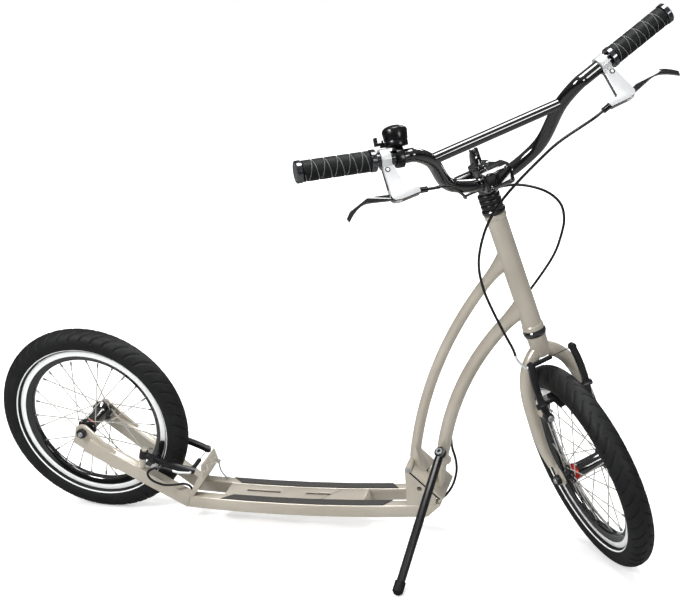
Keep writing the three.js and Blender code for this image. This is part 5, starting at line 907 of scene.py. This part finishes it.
# Brake cables, on the routes of the part's source
cableSizes = {"radius": 2.4, "sides": 12, "perSpan": 8, "side": 17.7, "top": 0.85, "middleSpan": 0.45,
    "endSide": -63, "endReach": 31.8, "rearLead": 7.2, "frontLead": 9.6}
frontRoute = [(165, 83, 615), (140, 52, 594), (105, 6, 559), (90, -19, 538), (72, -45, 507), (60, -67, 468),
    (52, -76, 437), (45, -78, 394), (43, -74, 350), (44, -68, 305)]
rearLoopRoute = [(168, -132, 630), (140, -105, 615), (96, -76, 584), (36, -52, 556), (-12, -36, 545),
    (-33, -2, 538), (-30, 30, 531), (-18, 54, 527), (2, 76, 518), (20, 98, 499), (30, 109, 475), (30, 107, 448),
    (20, 95, 417), (4, 74, 382)]
deckRoute = [(741, 17.7, 2), (742, 17.7, -10), (748, 16, -34), (749, 15, -56), (744, 15, -80), (734, 15, -103),
    (716, 13, -124), (684, 8, -133), (640, 0, -137), (560, 0, -146), (440, 0, -154), (320, 0, -161),
    (262, -2, -162), (240, -6, -161), (222, -10, -157), (206, -15, -147), (198, -17, -130), (192, -30, -117),
    (184, -49, -108), (163, -62, -102), (140, -67, -88), (136, -67, -74), (148, -66, -64), (168, -64, -61)]


def columnCablePoint(share):
    arc = columnArc("front")
    at = arcPoint(arc, arc[3] * share)
    return Vector((at.x, cableSizes["side"], at.z))


def makeCables():
    side, topShare, endSide, endReach, rearLead, frontLead, radius, sides, perSpan = pick(cableSizes,
        "side top endSide endReach rearLead frontLead radius sides perSpan")
    reach, angle, rearOffset, frontOffset = pick(brakeSizes, "reach rearAngle rearOffset frontOffset")
    toSteering = steering.inverted() @ scooter
    barrels = {turn: [leverFrame(turn) @ Vector(p) for p in leverSizes["barrel"]] for turn in (1, -1)}
    top = columnCablePoint(topShare)
    upward = (top - columnCablePoint(topShare * 0.99)).normalized()
    upper = [*barrels[-1], *rearLoopRoute, toSteering @ (top + upward * 21), toSteering @ (top + upward * 0.3)]
    middle = [columnCablePoint(topShare - cableSizes["middleSpan"] * i / 5) for i in range(6)]
    middle += [Vector((741, side, 27.3)), Vector((741, side, 2.3))]
    out, normal = heading(angle), heading(angle + 90)
    rearEnd = out * (reach - endReach) + Vector((0, endSide, 0)) - normal * rearOffset
    lower = [*deckRoute, rearEnd - out * rearLead, rearEnd]
    frontEnd = Vector((frontAxle.x + frontOffset, endSide, frontAxle.z + reach + endReach))
    front = [*barrels[1], *frontRoute, frontEnd + Vector((0, 0, frontLead)), frontEnd]
    pieces = {}
    for name, points, place, node in (("upperRearCable", upper, steering, "rear_brake_cable_upper"),
            ("middleRearCable", middle, scooter, "rear_brake_cable_middle"),
            ("lowerRearCable", lower, scooter, "rear_brake_cable_lower"),
            ("frontCable", front, steering, "front_brake_cable")):
        shape = tubeAlong(smoothPath(points, perSpan), radius, sides)
        pieces[name] = makePiece(name, [(shape, place, cableHousing)], None, node, 60)
    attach(pieces["frontCable"], "steering")
    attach(pieces["middleRearCable"], "column")
    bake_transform(pieces["upperRearCable"])
    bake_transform(pieces["lowerRearCable"])


makeCables()
print("cables made")


# Floor: its camera glow grows with the distance from the scooter, so that the shadow stays and the rest is white
def makeFloor(studio):
    floor, tree = newMaterial("paleStudioFloor")
    rays = addNode(tree, "ShaderNodeLightPath").outputs
    place = addNode(tree, "ShaderNodeTexCoord").outputs["Object"]
    reach = addNode(tree, "ShaderNodeVectorMath", {"operation": "LENGTH"}, {0: place})
    glow = addNode(tree, "ShaderNodeMapRange", {"From Min": studio["glowFrom"], "From Max": studio["glowTo"],
        "To Min": studio["floorLift"], "To Max": 1.0}, {"Value": reach.outputs["Value"]})
    cloud = addNode(tree, "ShaderNodeTexNoise", {"Scale": 3.0, "Detail": 3}, {"Vector": place})
    tone = twoTones(tree, ("f6f6f5", "f2f2f1"), cloud)
    dull = addNode(tree, "ShaderNodeBsdfDiffuse", None, {"Color": tone})
    lift = addNode(tree, "ShaderNodeEmission", None, {"Strength": glow})
    lifted = addNode(tree, "ShaderNodeAddShader", None, {0: dull, 1: lift})
    dim = addNode(tree, "ShaderNodeBsdfDiffuse", {"Color": toLinear("8e8e8e")})
    direct = addNode(tree, "ShaderNodeMixShader", None, {0: rays["Is Camera Ray"], 1: dull, 2: lifted})
    mix = addNode(tree, "ShaderNodeMixShader", None, {0: rays["Is Glossy Ray"], 1: direct, 2: dim})
    addNode(tree, "ShaderNodeOutputMaterial", None, {"Surface": mix})
    mesh = bpy.data.meshes.new("studioFloor")
    size = studio["floorSize"]
    mesh.from_pydata([(-size, -size, 0), (size, -size, 0), (size, size, 0), (-size, size, 0)], [], [(0, 1, 2, 3)])
    mesh.materials.append(floor)
    addObject("studioFloor", mesh)


# World: even light on matt faces, and a dim room with a bright ceiling in what shines
def makeWorld(studio):
    world = bpy.data.worlds.new("studioWorld")
    scene.world = world
    world.use_nodes = True
    tree = world.node_tree
    tree.nodes.clear()
    rays = addNode(tree, "ShaderNodeLightPath").outputs
    view = addNode(tree, "ShaderNodeNewGeometry")
    split = addNode(tree, "ShaderNodeSeparateXYZ", None, {"Vector": view.outputs["Incoming"]})
    room = addNode(tree, "ShaderNodeMapRange", {"From Min": -0.75, "From Max": -0.15, "To Min": studio["ceiling"],
        "To Max": studio["walls"]}, {"Value": split.outputs["Z"]})
    strength = addNode(tree, "ShaderNodeMix", {"data_type": "FLOAT", 2: studio["world"]},
        {0: rays["Is Glossy Ray"], 3: room})
    light = addNode(tree, "ShaderNodeBackground", {"Color": toLinear("f7f8fa")}, {"Strength": strength})
    white = addNode(tree, "ShaderNodeBackground", {"Color": (1, 1, 1, 1), "Strength": 1.0})
    mix = addNode(tree, "ShaderNodeMixShader", None, {0: rays["Is Camera Ray"], 1: light, 2: white})
    addNode(tree, "ShaderNodeOutputWorld", None, {"Surface": mix})


# The lamps are given by place, power in watts and size in metres
def makeStudio():
    studio = {"floorLift": 0.4, "glowFrom": 0.8, "glowTo": 2.4, "floorSize": 12, "world": 0.42, "ceiling": 0.3,
        "walls": 0.05, "aim": Vector((0.05, 0, 0.35)), "lamps": {
        "keyLamp": ((-1.6, -2.4, 2.6), 84, 1.0), "fillLamp": ((2.6, -1.6, 1.5), 18, 0.8),
        "backLamp": ((0.6, 2.4, 2.4), 30, 1.1), "topLamp": ((0.2, -0.2, 3.2), 58, 1.2)}}
    makeFloor(studio)
    makeWorld(studio)
    for name, (position, power, size) in studio["lamps"].items():
        data = bpy.data.lights.new(name, "AREA")
        setAll(data, {"energy": power, "shape": "SQUARE", "size": size})
        turn = (studio["aim"] - Vector(position)).to_track_quat("-Z", "Y").to_matrix().to_4x4()
        addObject(name, data).matrix_world = Matrix.Translation(position) @ turn


makeStudio()
scene.view_settings.view_transform = "Standard"
print("studio made")
